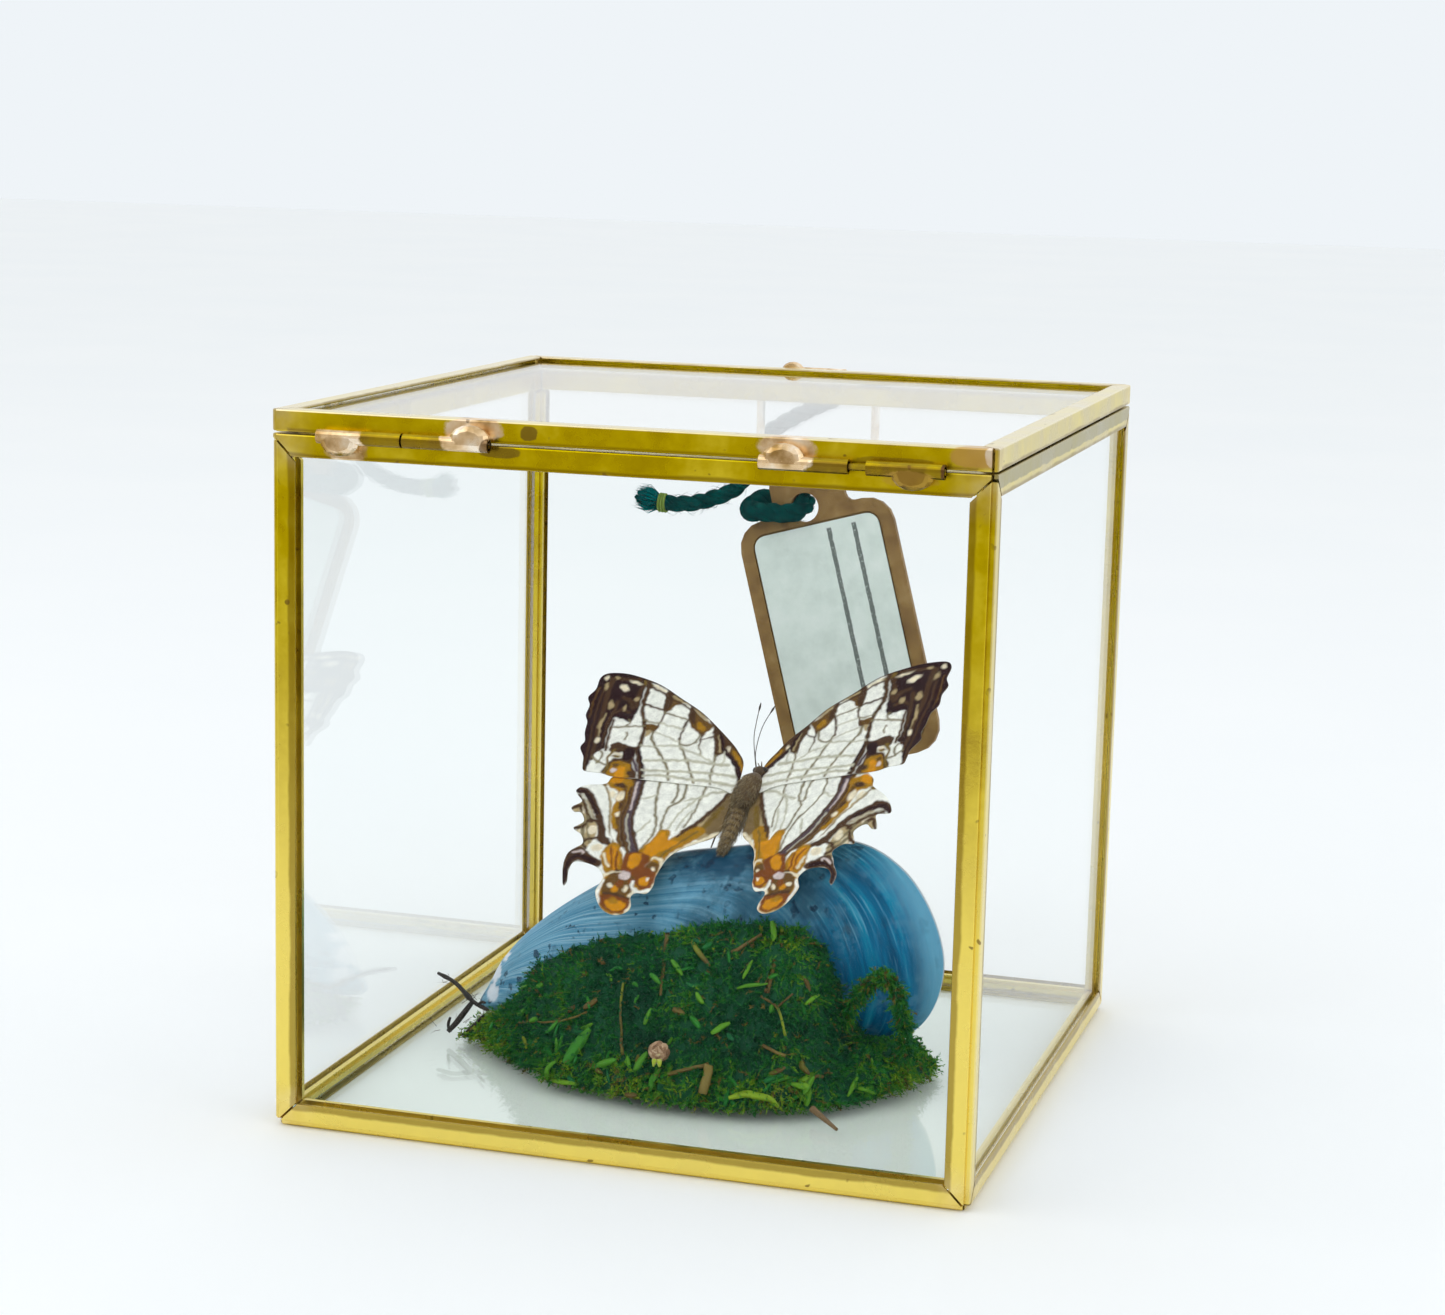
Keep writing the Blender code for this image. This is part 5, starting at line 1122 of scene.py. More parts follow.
def make_wing(name, sheet, marks, side, drop, mover, material, node):
    """One wing as a thin closed skin, with its veins slightly raised."""
    places, triangles = sheet
    colours = paint_marks(places, marks, 3.0 + side)
    darkness = 1 - colours.mean(1) / PALE_MEAN
    flat = mover(places) if mover else places
    placement = Matrix.Translation(THORAX) @ BUTTERFLY_TURN.to_matrix().to_4x4()
    placement = placement @ Matrix.Translation(Vector((0, 0, -drop)))
    matrix = np.array(placement @ Matrix.Rotation(-side * DIHEDRAL, 4, "Y"))
    reach = np.clip(flat[:, 0] / CAMBER_SPAN, 0, 1)
    wave = np.sin(flat[:, 1] * 0.9 + flat[:, 0] * 0.25)
    camber = WING_CAMBER * np.sin(math.pi * reach) + WING_WAVE * wave
    relief = VEIN_HEIGHT * np.clip(darkness, 0, 1)
    layers = []
    for up in (1, -1):
        height = camber * MM + up * (MEMBRANE / 2 + relief * MM)
        out = side * (WING_ROOT + flat[:, 0] - OUTLINE_START) * MM
        local = np.stack((out, flat[:, 1] * MM, height), 1)
        layers.append(local @ matrix[:3, :3].T + matrix[:3, 3])
    points = [tuple(point) for point in np.vstack(layers)]
    count = len(places)
    top = [tuple(face) if side > 0 else tuple(reversed(face)) for face in triangles]
    bottom = [tuple(count + index for index in reversed(face)) for face in top]
    used = {}
    for face in top:
        for start, end in zip(face, face[1:] + face[:1]):
            used[(start, end)] = True
    rim = [(end, start, start + count, end + count) for start, end in used if (end, start) not in used]
    piece = new_piece(name, points, top + bottom + rim, material)
    shades = np.ones((2 * count, 4))
    shades[:count, :3] = colours
    shades[count:, :3] = colours * UNDERSIDE_SHARE + np.array(WING_COLOURS["cream"]) * 0.35
    piece.data.attributes.new("marking", "FLOAT_COLOR", "POINT").data.foreach_set("color", shades.ravel())
    bind(piece, node)


def make_wings():
    """Four wings from two patterns."""
    scales = wing_look()
    fore = wing_sheet(FOREWING)
    hind = wing_sheet(HINDWING)
    make_wing("left_forewing", fore, FORE_MARKS, -1, 0.0, None, scales, "forewing_left")
    make_wing("right_forewing", fore, FORE_MARKS, 1, 0.0, lean_right_forewing, scales, "forewing_right")
    make_wing("left_hindwing", hind, HIND_MARKS, -1, HIND_DROP, None, scales, "hindwing_left")
    make_wing("right_hindwing", hind, HIND_MARKS, 1, HIND_DROP, hang_right_hindwing, scales, "hindwing_right")


# ---------------------------------------------------------------- mussel valve

# The valve lies in an upright plane, in millimetres across (x) and up (z)
VALVE_Y = 1.0
VALVE_MIDDLE = np.array((-3.0, 18.5))
VALVE_HEIGHT = 10.0
VALVE_EDGE = 0.8
VALVE_EXTRA = 0.5
VALVE_SKIN = 0.05             # how far the skin's face lies before the solid's, and its back behind
VALVE_BACK_SKIN = 0.02
FAN_REACH = 1.25              # radians that the valve spans as seen from its narrow end
FAN_STEPS = 60
FAN_WINDOW = 0.035            # radians on both sides of a direction that count for it
VALVE_OUTLINE = (
    (-38.4, 4.7), (-37.0, 8.2), (-34.4, 13.0), (-28.6, 19.2), (-19.4, 25.8), (-9.0, 31.2), (1.2, 33.5),
    (11.0, 35.2), (20.6, 36.0), (27.6, 32.6), (32.2, 26.4), (34.4, 18.6), (32.6, 11.0), (27.8, 6.6),
    (20.0, 4.6), (6.0, 4.1), (-10.0, 4.1), (-24.0, 3.9), (-34.0, 3.7),
)
UMBO = np.array((-39.5, 3.2))
VALVE_AROUND = 12             # points from each point of the outline to the next
VALVE_RINGS = 84
RIDGE = 0.10                  # height of the growth ridges
CHIP_DEPTH = 0.28
CHIP_PLACES = ((-36.4, 10.6, 1.9), (-35.6, 7.6, 1.3), (-34.2, 13.4, 0.9))   # broken bits: x, z, size
VALVE_EDGE_LINE = rounded(VALVE_OUTLINE, True, VALVE_AROUND)


def seen_from(middle, places):
    """Angles and distances of places seen from a middle."""
    gap = places - middle
    return np.arctan2(gap[:, 1], gap[:, 0]), np.hypot(gap[:, 0], gap[:, 1])


EDGE_ANGLES, EDGE_FAR = seen_from(VALVE_MIDDLE, VALVE_EDGE_LINE)
EDGE_ORDER = EDGE_ANGLES.argsort()


def dome(share):
    """Height profile of the valve from its middle (0) to its edge (1)."""
    return np.maximum(0, 1 - np.clip(share, 0, 1) ** 2.3) ** 0.72


def valve_front(places):
    """How far forward the valve's outer face is, and the share of the way to its edge."""
    angles, far = seen_from(VALVE_MIDDLE, places)
    share = far / np.interp(angles, EDGE_ANGLES[EDGE_ORDER], EDGE_FAR[EDGE_ORDER], period=FULL_TURN)
    return VALVE_Y - VALVE_EDGE - VALVE_HEIGHT * dome(share), share


def growth_of(places):
    """Size of the valve when its edge ran through each place, from 0 to 1, and the direction."""
    angles, distances = seen_from(UMBO, VALVE_EDGE_LINE)
    bins = np.linspace(0.0, FAN_REACH, FAN_STEPS)
    reach = np.array([max([far for far, angle in zip(distances, angles) if abs(angle - at) < FAN_WINDOW],
                          default=8.0) for at in bins])
    reach = np.convolve(np.pad(reach, 2, "edge"), np.ones(5) / 5, "valid")
    turn, far = seen_from(UMBO, places)
    return far / np.interp(turn, bins, reach), turn


def shell_look():
    """Blue-black shell worn to grey-lilac, with pale streaks along its growth lines."""
    made, look, shader = new_look("mussel_shell")
    growth = look.attribute("growth")
    fan = look.attribute("fan")
    x, _, z = look.parts(look.place())
    across = x + (look.noise(90.0, 3.0) - 0.5) * (30 * MM)
    streaks = look.noise(1.0, 3.0, vector=look.joined(growth * 46.0, fan * 3.2, 0.0), roughness=0.65)
    fine = look.noise(1.0, vector=look.joined(growth * 190.0, fan * 7.0, 2.0))
    wear = look.noise(150.0, 4.0, roughness=0.62)

    # Grey on the left, deep blue on the right, a dark blotch between them
    grey = look.ramp(streaks, (0.30, (0.032, 0.170, 0.300)), (0.48, (0.095, 0.285, 0.425)),
                     (0.70, (0.220, 0.450, 0.590)))
    deep = look.ramp(streaks, (0.34, (0.0001, 0.068, 0.155)), (0.52, (0.0002, 0.130, 0.265)),
                     (0.66, (0.004, 0.235, 0.390)), (0.80, (0.18, 0.50, 0.64)))
    colour = look.mix(look.step(across, 6 * MM, 22 * MM), grey, deep)
    middle = look.step(across, -12 * MM, 0.0) * look.step(across, 26 * MM, 12 * MM)
    blotch = middle * look.step(wear, 0.34, 0.62, 0.10, 0.75)
    colour = look.mix(blotch, colour, (0.008, 0.052, 0.088))
    # Pale growth lines, a pale rim and arcs towards the narrow end
    light_lines = look.step(fine, 0.60, 0.74) * look.step(growth, 0.55, 0.92, 0.10, 0.45)
    colour = look.mix(light_lines, colour, (0.17, 0.50, 0.66))
    rim = look.step(growth, 0.94, 0.99) * look.step(x, 18 * MM, 30 * MM, 0.0, 0.8)
    colour = look.mix(rim, colour, (0.125, 0.350, 0.490))
    arcs = look.step(look.noise(1.0, 1.0, vector=look.joined(growth * 120.0, fan * 2.0, 6.0)), 0.54, 0.66)
    arcs = arcs * look.step(across, -6 * MM, -18 * MM, 0.0, 0.55)
    colour = look.mix(arcs, colour, (0.36, 0.56, 0.66))
    # Dark upper edge, specks and mottling
    dark_top = look.step(z, 27.5 * MM, 31.5 * MM) * look.step(across, -16 * MM, -6 * MM)
    dark_top = dark_top * look.step(across, 20 * MM, 9 * MM)
    colour = look.mix(dark_top * look.step(wear, 0.35, 0.6, 0.45, 0.90), colour, (0.001, 0.040, 0.085))
    specks = look.step(look.noise(560.0), 0.60, 0.66) * look.step(wear, 0.38, 0.56)
    specks = specks * look.step(across, 26 * MM, 14 * MM, 0.15, 0.80)
    colour = look.mix(specks, colour, (0.004, 0.020, 0.045))
    mottled = look.step(look.noise(260.0, 5.0, roughness=0.7), 0.50, 0.68, 0.0, 0.34)
    colour = look.mix(mottled, colour, (0.110, 0.280, 0.390))
    pearl = look.ramp(look.noise(120.0), (0.35, (0.62, 0.70, 0.78)), (0.65, (0.82, 0.82, 0.84)))
    bare = look.most(look.attribute("inner"), look.attribute("chipped"))
    colour = look.mix(bare, colour, pearl)
    settle(look, shader, Base_Color=colour, Roughness=look.step(wear, 0.3, 0.7, 0.28, 0.50),
           Normal=look.bump(streaks * 0.6 + fine * 0.4, 0.35, 0.22 * MM))
    shader.inputs["Specular IOR Level"].default_value = 0.14
    return made


def make_shell():
    """The valve as a closed skin with its growth ridges and a ragged narrow end."""
    edge = VALVE_EDGE_LINE
    count = len(edge)
    shares = np.cos(math.pi / 2 * np.arange(VALVE_RINGS) / VALVE_RINGS)
    places = [VALVE_MIDDLE + (edge - VALVE_MIDDLE) * share for share in shares]
    places = np.concatenate(places + [VALVE_MIDDLE[None]])
    rise = np.concatenate([dome(np.full(count, share)) for share in shares] + [np.ones(1)])
    growth, fan = growth_of(places)
    ridges = np.array([noise.noise(Vector((size * 42, turn * 1.2, 4.0)))
                       + 0.5 * noise.noise(Vector((size * 120, turn * 2.4, 7.0)))
                       for size, turn in zip(growth, fan)])
    ridges = np.minimum(ridges, 0.35) * RIDGE * np.clip(rise * 6, 0, 1)
    uneven = 1 + 0.5 * np.array([noise.noise(Vector((x * 1.4, z * 1.4, 2.0))) for x, z in places])
    chipped = np.zeros(len(places))
    for x, z, size in CHIP_PLACES:
        far = np.hypot(places[:, 0] - x, places[:, 1] - z)
        chipped = np.maximum(chipped, np.clip((size * uneven - far) / 0.25 + 0.5, 0, 1))
    front = VALVE_Y - VALVE_EDGE - VALVE_HEIGHT * rise - ridges - VALVE_SKIN + CHIP_DEPTH * chipped
    back = VALVE_Y - (VALVE_HEIGHT - VALVE_EXTRA) * rise + VALVE_BACK_SKIN
    x, z = places.T
    points = np.concatenate([np.stack((x, depth, z), 1) * MM for depth in (front, back)])
    total = len(places)
    faces = []
    for ring in range(VALVE_RINGS - 1):
        for index in range(count):
            following = (index + 1) % count
            low, high = ring * count, (ring + 1) * count
            faces.append((low + index, high + index, high + following, low + following))
    last = (VALVE_RINGS - 1) * count
    faces += [(last + index, total - 1, last + (index + 1) % count) for index in range(count)]
    faces = faces + [tuple(total + index for index in reversed(face)) for face in faces]
    faces += [(index, (index + 1) % count, total + (index + 1) % count, total + index)
              for index in range(count)]
    values = {"growth": np.tile(growth, 2), "fan": np.tile(fan, 2), "chipped": np.tile(chipped, 2),
              "inner": np.repeat((0.0, 1.0), total)}
    values = {name: numbers.astype(np.float32) for name, numbers in values.items()}
    shell = new_piece("shell", [tuple(point) for point in points], faces, shell_look(), **values)
    bind(shell, "mussel_valve")


# ---------------------------------------------------------------- moss

SHOOTS = 10800
SHOOT_PIECES = 3
SHOOT_STEPS = 6
SHOOT_LENGTH = (1.3, 2.7)
STEM_WIDTH = 0.055 * MM
LEAF_LENGTH = 0.66            # these two and the skin in millimetres
LEAF_WIDTH = 0.34
MOSS_SKIN = 1.1               # depth of the leafy skin below the mound's outline
MOSS_FLOOR = 2.0 * MM         # the floor pane's upper face, where leaves bend up
MOUND_FOOT = 2.25             # millimetres above the ground, and the mound's height over it
MOUND_HEIGHT = 24.0
CORE_FOOT = 2.2 * MM
LOWEST_TIP = 2.3 * MM
LOWEST_ROOT = 2.4 * MM
LOWEST_PLACE = 2.5 * MM
DRY_SHARE = 0.050             # of the shoots that are brown
# A loop of moss at the right end, standing clear of the mound, in millimetres
ARCH = ((21.4, -12.0, 10.6), (22.8, -12.0, 13.0), (24.2, -12.0, 15.8), (26.1, -12.0, 18.2),
        (28.3, -12.0, 19.9), (30.2, -12.0, 18.2), (30.9, -11.6, 15.6), (31.3, -11.0, 12.6),
        (31.4, -10.2, 9.0), (31.0, -9.6, 6.0))
ARCH_WIDTH = 1.6
ARCH_SHOOTS = 10              # from each point of the loop


def uneven_tone(look, scale, amount):
    """The mesh's own tone, made uneven by noise."""
    return look.math("ADD", look.attribute("tone"), (look.noise(scale, 3.0) - 0.5) * amount, clamp=True)


def moss_look(name):
    """Leafy moss, from dark blue-green through yellow-green to dry brown by tone."""
    made, look, shader = new_look(name)
    colour = look.ramp(uneven_tone(look, 110.0, 0.34), (0.0, (0.001, 0.045, 0.022)),
                       (0.28, (0.004, 0.105, 0.032)), (0.50, (0.018, 0.190, 0.020)),
                       (0.68, (0.105, 0.285, 0.014)), (0.82, (0.27, 0.40, 0.02)),
                       (0.92, (0.095, 0.060, 0.018)), (1.0, (0.19, 0.145, 0.035)))
    settle(look, shader, Base_Color=colour, Roughness=0.70)
    shader.inputs["Specular IOR Level"].default_value = 0.25
    return made


def add_shoot(sheaf, shaker, root, way, length, tone):
    """A curved stem with leaves in a spiral along it, in metres."""
    across = way.orthogonal().normalized()
    across.rotate(Matrix.Rotation(shaker.uniform(0, FULL_TURN), 3, way))
    droop = across * shaker.uniform(0.15, 0.60) - Vector((0, 0, shaker.uniform(0.1, 0.55)))
    line = []
    for step in range(SHOOT_STEPS + 1):
        share = step / SHOOT_STEPS
        line.append(root + way * length * share + droop * length * share ** 2)
    side = across * STEM_WIDTH
    other = way.cross(across) * STEM_WIDTH
    points = []
    for point, thin in ((line[0], 1.0), (line[3], 0.8), (line[-1], 0.3)):
        points += [point + side * thin, point + other * thin, point - (side + other) * thin * 0.7]
    sheaf.add(points, band_faces(3, 3), min(1.0, tone + 0.12))
    turn = shaker.uniform(0, FULL_TURN)
    for step in range(1, SHOOT_STEPS + 1):
        along = (line[step] - line[step - 1]).normalized()
        spread = shaker.uniform(0.75, 1.15) * (1.0 - 0.35 * step / SHOOT_STEPS)
        for side_turn in (0, math.pi):
            outward = around((across, along.cross(across)), turn + step * 0.9 + side_turn)
            reach = (along * 0.75 + outward * spread).normalized() * LEAF_LENGTH * MM * spread
            flat = along.cross(outward).normalized() * LEAF_WIDTH * MM * 0.5 * spread
            base = line[step - 1].lerp(line[step], shaker.random())
            middle = base + reach * 0.45
            sag = outward * 0.06 * MM
            leaf = (base, middle + flat - sag, base + reach + along * 0.08 * MM, middle - flat - sag)
            sheaf.add(leaf, ((0, 1, 2), (0, 2, 3)), tone + shaker.uniform(-0.07, 0.07))


def moss_skin():
    """Triangles of the mound, but for its underside: corners, the way out, and area."""
    mound = NODES["moss"]
    mound.data.calc_loop_triangles()
    found = []
    for triangle in mound.data.loop_triangles:
        corners = [mound.matrix_world @ mound.data.vertices[index].co for index in triangle.vertices]
        normal = (corners[1] - corners[0]).cross(corners[2] - corners[0])
        area = normal.length / 2
        if area > 0 and normal.z > -0.9 * normal.length:
            found.append((corners, normal.normalized(), area))
    return found


def front_at(place):
    """How far forward the valve is at a place in metres, and the share of the way to its edge."""
    front, share = valve_front(np.array(((place.x / MM, place.z / MM),)))
    return front[0], share[0]


def meets_valve(place, margin):
    """Whether a place is in the valve, or nearer to its front than the margin."""
    front, share = front_at(place)
    return share <= 1.03 and (front - margin) * MM < place.y < (VALVE_Y + 0.3) * MM


def shoot_tone(shaker, place):
    """A shoot's tone by its place on the mound: paler low down and on the left, with painted light on the
    ridge and painted shade across the mound's middle height.
    """
    height = (place.z / MM - MOUND_FOOT) / MOUND_HEIGHT
    lit = noise.noise(place * 85) * 0.32 + noise.noise(place * 260) * 0.24
    tone = 0.39 + lit + shaker.gauss(0, 0.10)
    tone += 0.17 * clipped((9.5 * MM - place.z) / (4 * MM))
    tone += 0.20 * clipped((-22 * MM - place.x) / (8 * MM))
    # Painted light: paler on the ridge
    tone += 0.10 * clipped((height - 0.72) / 0.15)
    # Painted shade: darker across the mound's middle height
    tone -= 0.14 * math.exp(-((height - 0.45) / 0.22) ** 2)
    if shaker.random() < DRY_SHARE:
        tone = shaker.uniform(0.88, 1.0)
    return min(max(tone, 0.02), 1.0)


def grow_mound(sheaves, shaker):
    """Shoots all over the mound, off the valve's seat."""
    skin = moss_skin()
    weights = [area for _, _, area in skin]
    made = 0
    while made < SHOOTS:
        corners, normal, _ = shaker.choices(skin, weights)[0]
        first, second = sorted((shaker.random(), shaker.random()))
        place = corners[0] * first + corners[1] * (second - first) + corners[2] * (1 - second)
        front, share = front_at(place)
        in_seat = share < 1.04 and front - 0.75 < place.y / MM < VALVE_Y + 0.6
        if in_seat or place.z < LOWEST_PLACE:
            continue
        made += 1
        spread = Vector((shaker.gauss(0, 0.5), shaker.gauss(0, 0.5), shaker.gauss(-0.15, 0.45)))
        way = (normal * 0.75 + spread).normalized()
        length = shaker.uniform(*SHOOT_LENGTH) * MM
        root = place - normal * MOSS_SKIN * MM
        root.z = max(root.z, LOWEST_ROOT)
        tip = root + way * length
        if tip.z < LOWEST_TIP:
            way = (way + Vector((0, 0, 0.6))).normalized()
        if meets_valve(tip, 0.2):
            way = (way - Vector((0, 0.9, 0))).normalized()
        tone = shoot_tone(shaker, place)
        add_shoot(sheaves[made % SHOOT_PIECES], shaker, root, way, length, tone)


def grow_arch(sheaf, shaker):
    """Shoots round the loop of moss."""
    arch = smooth_line(in_metres(ARCH), 0.35 * MM)
    for first, second in zip(arch, arch[1:]):
        along = (second - first).normalized()
        for _ in range(ARCH_SHOOTS):
            outward = Vector([shaker.gauss(0, 1) for _ in range(3)])
            outward = (outward - along * outward.dot(along)).normalized()
            root = first + outward * shaker.uniform(0, 0.35) * ARCH_WIDTH * MM
            way = (outward * 0.7 + along * shaker.uniform(-0.9, 0.9)).normalized()
            tone = shaker.uniform(0.88, 0.96) if shaker.random() < 0.12 else shaker.uniform(0.22, 0.60)
            add_shoot(sheaf, shaker, root, way, shaker.uniform(0.8, 1.7) * MM, tone)


def off_the_floor(point):
    """A leaf's point, bent up where it would pass through the floor pane."""
    if point.z >= MOSS_FLOOR:
        return point
    return Vector((point.x, point.y, MOSS_FLOOR + (MOSS_FLOOR - point.z) * 0.3))


def make_core():
    """The inside of the mound, a little below the solid's faces, coloured dark as painted shade between the
    shoots.
    """
    mesh = NODES["moss"].data.copy()
    mesh.transform(NODES["moss"].matrix_world)
    bm = bmesh.new()
    bm.from_mesh(mesh)
    bmesh.ops.triangulate(bm, faces=bm.faces)
    bmesh.ops.remove_doubles(bm, verts=bm.verts, dist=0.01 * MM)
    bmesh.ops.subdivide_edges(bm, edges=bm.edges, cuts=2, use_grid_fill=True)
    bm.normal_update()
    for vertex in bm.verts:
        depth = 0.55 + 0.5 * noise.noise(vertex.co * 700)
        moved = vertex.co - vertex.normal * depth * MM
        vertex.co = Vector((moved.x, moved.y, max(moved.z, CORE_FOOT)))
    mesh.clear_geometry()
    bm.to_mesh(mesh)
    bm.free()
    mesh.materials.clear()
    mesh.materials.append(moss_look("moss_core_painted_shade"))
    # The core's dark blue-green is painted shade between the shoots
    tones = mesh.attributes.new("tone", "FLOAT", "POINT")
    tones.data.foreach_set("value", [0.12] * len(mesh.vertices))
    bind(in_scene("moss_core_painted_shade", mesh), "moss")


def make_moss():
    """A mound of leafy shoots over a core coloured dark as painted shade."""
    shaker = random.Random(21)
    leafy = moss_look("moss_leaves")
    sheaves = [Sheaf() for _ in range(SHOOT_PIECES)]
    grow_mound(sheaves, shaker)
    grow_arch(sheaves[0], shaker)
    for number, sheaf in enumerate(sheaves):
        sheaf.points = [off_the_floor(point) for point in sheaf.points]
        bind(sheaf.make("moss_shoots_" + str(number + 1), leafy, smooth=False), "moss")
    make_core()


# ---------------------------------------------------------------- butterfly body

# Middle line of the insect in its own frame, millimetres: place and radius
HEAD = (1.4, 1.9, 0.3)
CHEST = (0.4, -1.2, -0.9)
THORAX_LINE = ((1.05, 1.2, 0.2, 0.85), (0.85, 0.2, 0.25, 1.60), (0.55, -1.4, 0.2, 2.00),
               (0.3, -3.0, 0.1, 1.95), (0.15, -4.4, 0.0, 1.55), (0.1, -5.4, 0.0, 1.05))
ABDOMEN_LINE = ((0.1, -4.6, 0.0, 0.95), (0.0, -6.2, 0.0, 1.12), (-0.15, -8.4, -0.1, 1.15),
                (-0.35, -10.6, -0.2, 0.98), (-0.6, -12.2, -0.3, 0.68), (-0.75, -13.3, -0.35, 0.28))
SEGMENTS = 8
BODY_SIDES = 20
LEG_WIDTHS = ((0.24, 0.20), (0.17, 0.12), (0.11, 0.07))
LEG_TIPS = ((-6.2, 2.4, 32.6), (9.0, 2.4, 34.2), (-3.4, 4.4, 31.0), (6.6, 4.4, 31.6))
ANTENNAE = (
    ((2.0, 10.3, 43.6), (1.1, 12.0, 47.6), (1.0, 13.5, 50.1), (1.2, 15.0, 52.8)),
    ((2.1, 10.3, 43.6), (1.6, 11.4, 45.9), (2.0, 13.4, 49.4), (3.3, 15.6, 52.4)),
)
PALP_TIPS = ((2.8, 10.7, 44.6), (2.2, 10.8, 44.3))
# Each part's middle line, number of hairs, their length and how far they stand off
FUR = ((THORAX_LINE, 2200, (0.6, 1.35), 0.55), (ABDOMEN_LINE, 1700, (0.5, 1.1), 0.35))
HAIR_WIDTH = 0.030 * MM
LONG_HAIRS = 420              # over the inner edge of each hindwing
BODY_TURN = BUTTERFLY_TURN.to_matrix()


def on_body(place):
    """A place in the butterfly's frame, in metres in the scene."""
    return THORAX + BODY_TURN @ (Vector(place[:3]) * MM)


def add_blob(sheaf, middle, radii, turn, tone, rough=0.0, segments=28, rings=18):
    """A closed rounded lump, slightly uneven."""
    points = [middle + turn @ Vector((0, 0, radii[2]))]
    for ring in range(1, rings):
        tilt = math.pi * ring / rings
        for segment in range(segments):
            angle = FULL_TURN * segment / segments
            out = Vector((math.sin(tilt) * math.cos(angle), math.sin(tilt) * math.sin(angle), math.cos(tilt)))
            swell = 1 + rough * noise.noise(out * 2.6 + middle * 900)
            reach = Vector((out.x * radii[0], out.y * radii[1], out.z * radii[2]))
            points.append(middle + turn @ reach * swell)
    points.append(middle - turn @ Vector((0, 0, radii[2])))
    faces = []
    for segment in range(segments):
        following = (segment + 1) % segments
        faces.append((0, 1 + segment, 1 + following))
        for ring in range(rings - 2):
            low = 1 + ring * segments
            high = low + segments
            faces.append((low + segment, high + segment, high + following, low + following))
        last = 1 + (rings - 2) * segments
        faces.append((last + segment, len(points) - 1, last + following))
    sheaf.add(points, faces, tone)


def insect_look():
    """Brown body scales by tone: dark joints, orange-brown middle, grey hairs."""
    made, look, shader = new_look("insect_body")
    colour = look.ramp(uneven_tone(look, 700.0, 0.40), (0.0, (0.010, 0.005, 0.003)),
                       (0.25, (0.044, 0.021, 0.006)), (0.50, (0.130, 0.076, 0.020)),
                       (0.72, (0.270, 0.185, 0.065)), (1.0, (0.60, 0.50, 0.32)))
    settle(look, shader, Base_Color=colour, Roughness=0.75,
           Normal=look.bump(look.noise(2600.0), 0.4, 0.06 * MM))
    shader.inputs["Sheen Weight"].default_value = 0.2
    return made


def add_trunk(sheaf, knots, step):
    """The thorax, or the abdomen with its rings."""
    line = smooth_line([knot[:3] for knot in knots], step)
    starts = [knot[1] for knot in knots]
    radii = []
    tones = []
    for point in line:
        radius = float(np.interp(-point.y, [-y for y in starts], [knot[3] for knot in knots]))
        wave = 0.0
        if knots is ABDOMEN_LINE:
            along = (point.y - starts[0]) / (starts[-1] - starts[0]) * SEGMENTS
            wave = abs(math.sin(math.pi * along))
            radius *= 0.93 + 0.09 * wave ** 0.6
        radii.append(radius * MM)
        tones += [0.60 if wave > 0.4 else 0.40] * BODY_SIDES
    add_tube(sheaf, [on_body(point) for point in line], radii, BODY_SIDES, tones)


def add_head(sheaf):
    """Head with its eyes, palps and clubbed antennae."""
    head = on_body(HEAD)
    add_blob(sheaf, head, (1.08 * MM, 0.95 * MM, 1.0 * MM), BODY_TURN, 0.30, rough=0.08)
    for side in (-1, 1):
        eye = head + BODY_TURN @ (Vector((side * 0.72, 0.18, 0.18)) * MM)
        add_blob(sheaf, eye, (0.5 * MM, 0.55 * MM, 0.6 * MM), BODY_TURN, 0.02)
    for tip in PALP_TIPS:
        middle = head.lerp(Vector(tip) * MM, 0.5) + Vector((0, 0.2 * MM, 0))
        line = smooth_line((head, middle, Vector(tip) * MM), 0.18 * MM)
        radii = [0.22 * MM * (1 - 0.75 * index / (len(line) - 1)) for index in range(len(line))]
        add_tube(sheaf, line, radii, 8, 0.30)
    for route in ANTENNAE:
        line = smooth_line(in_metres(route), 0.2 * MM)
        shares = [index / (len(line) - 1) for index in range(len(line))]
        radii = [(0.065 + 0.12 * max(0.0, 1 - abs(share - 0.93) / 0.07)) * MM for share in shares]
        add_tube(sheaf, line, radii, 8, 0.12)


def add_legs(sheaf):
    """Four jointed legs from the chest to the valve."""
    chest = on_body(CHEST)
    for index, tip in enumerate(LEG_TIPS):
        end = Vector(tip) * MM
        side = -1 if index % 2 == 0 else 1
        knee = chest.lerp(end, 0.45) + Vector((side * 1.6, 0.8, 0.6)) * MM
        ankle = knee.lerp(end, 0.75)
        joints = (chest, knee, ankle, end)
        for start, stop, (thick, thin) in zip(joints, joints[1:], LEG_WIDTHS):
            line = respace([start, stop], 0.5 * MM)
            radii = [(thick + (thin - thick) * step / (len(line) - 1)) * MM for step in range(len(line))]
            add_tube(sheaf, line, radii, 8, 0.35)


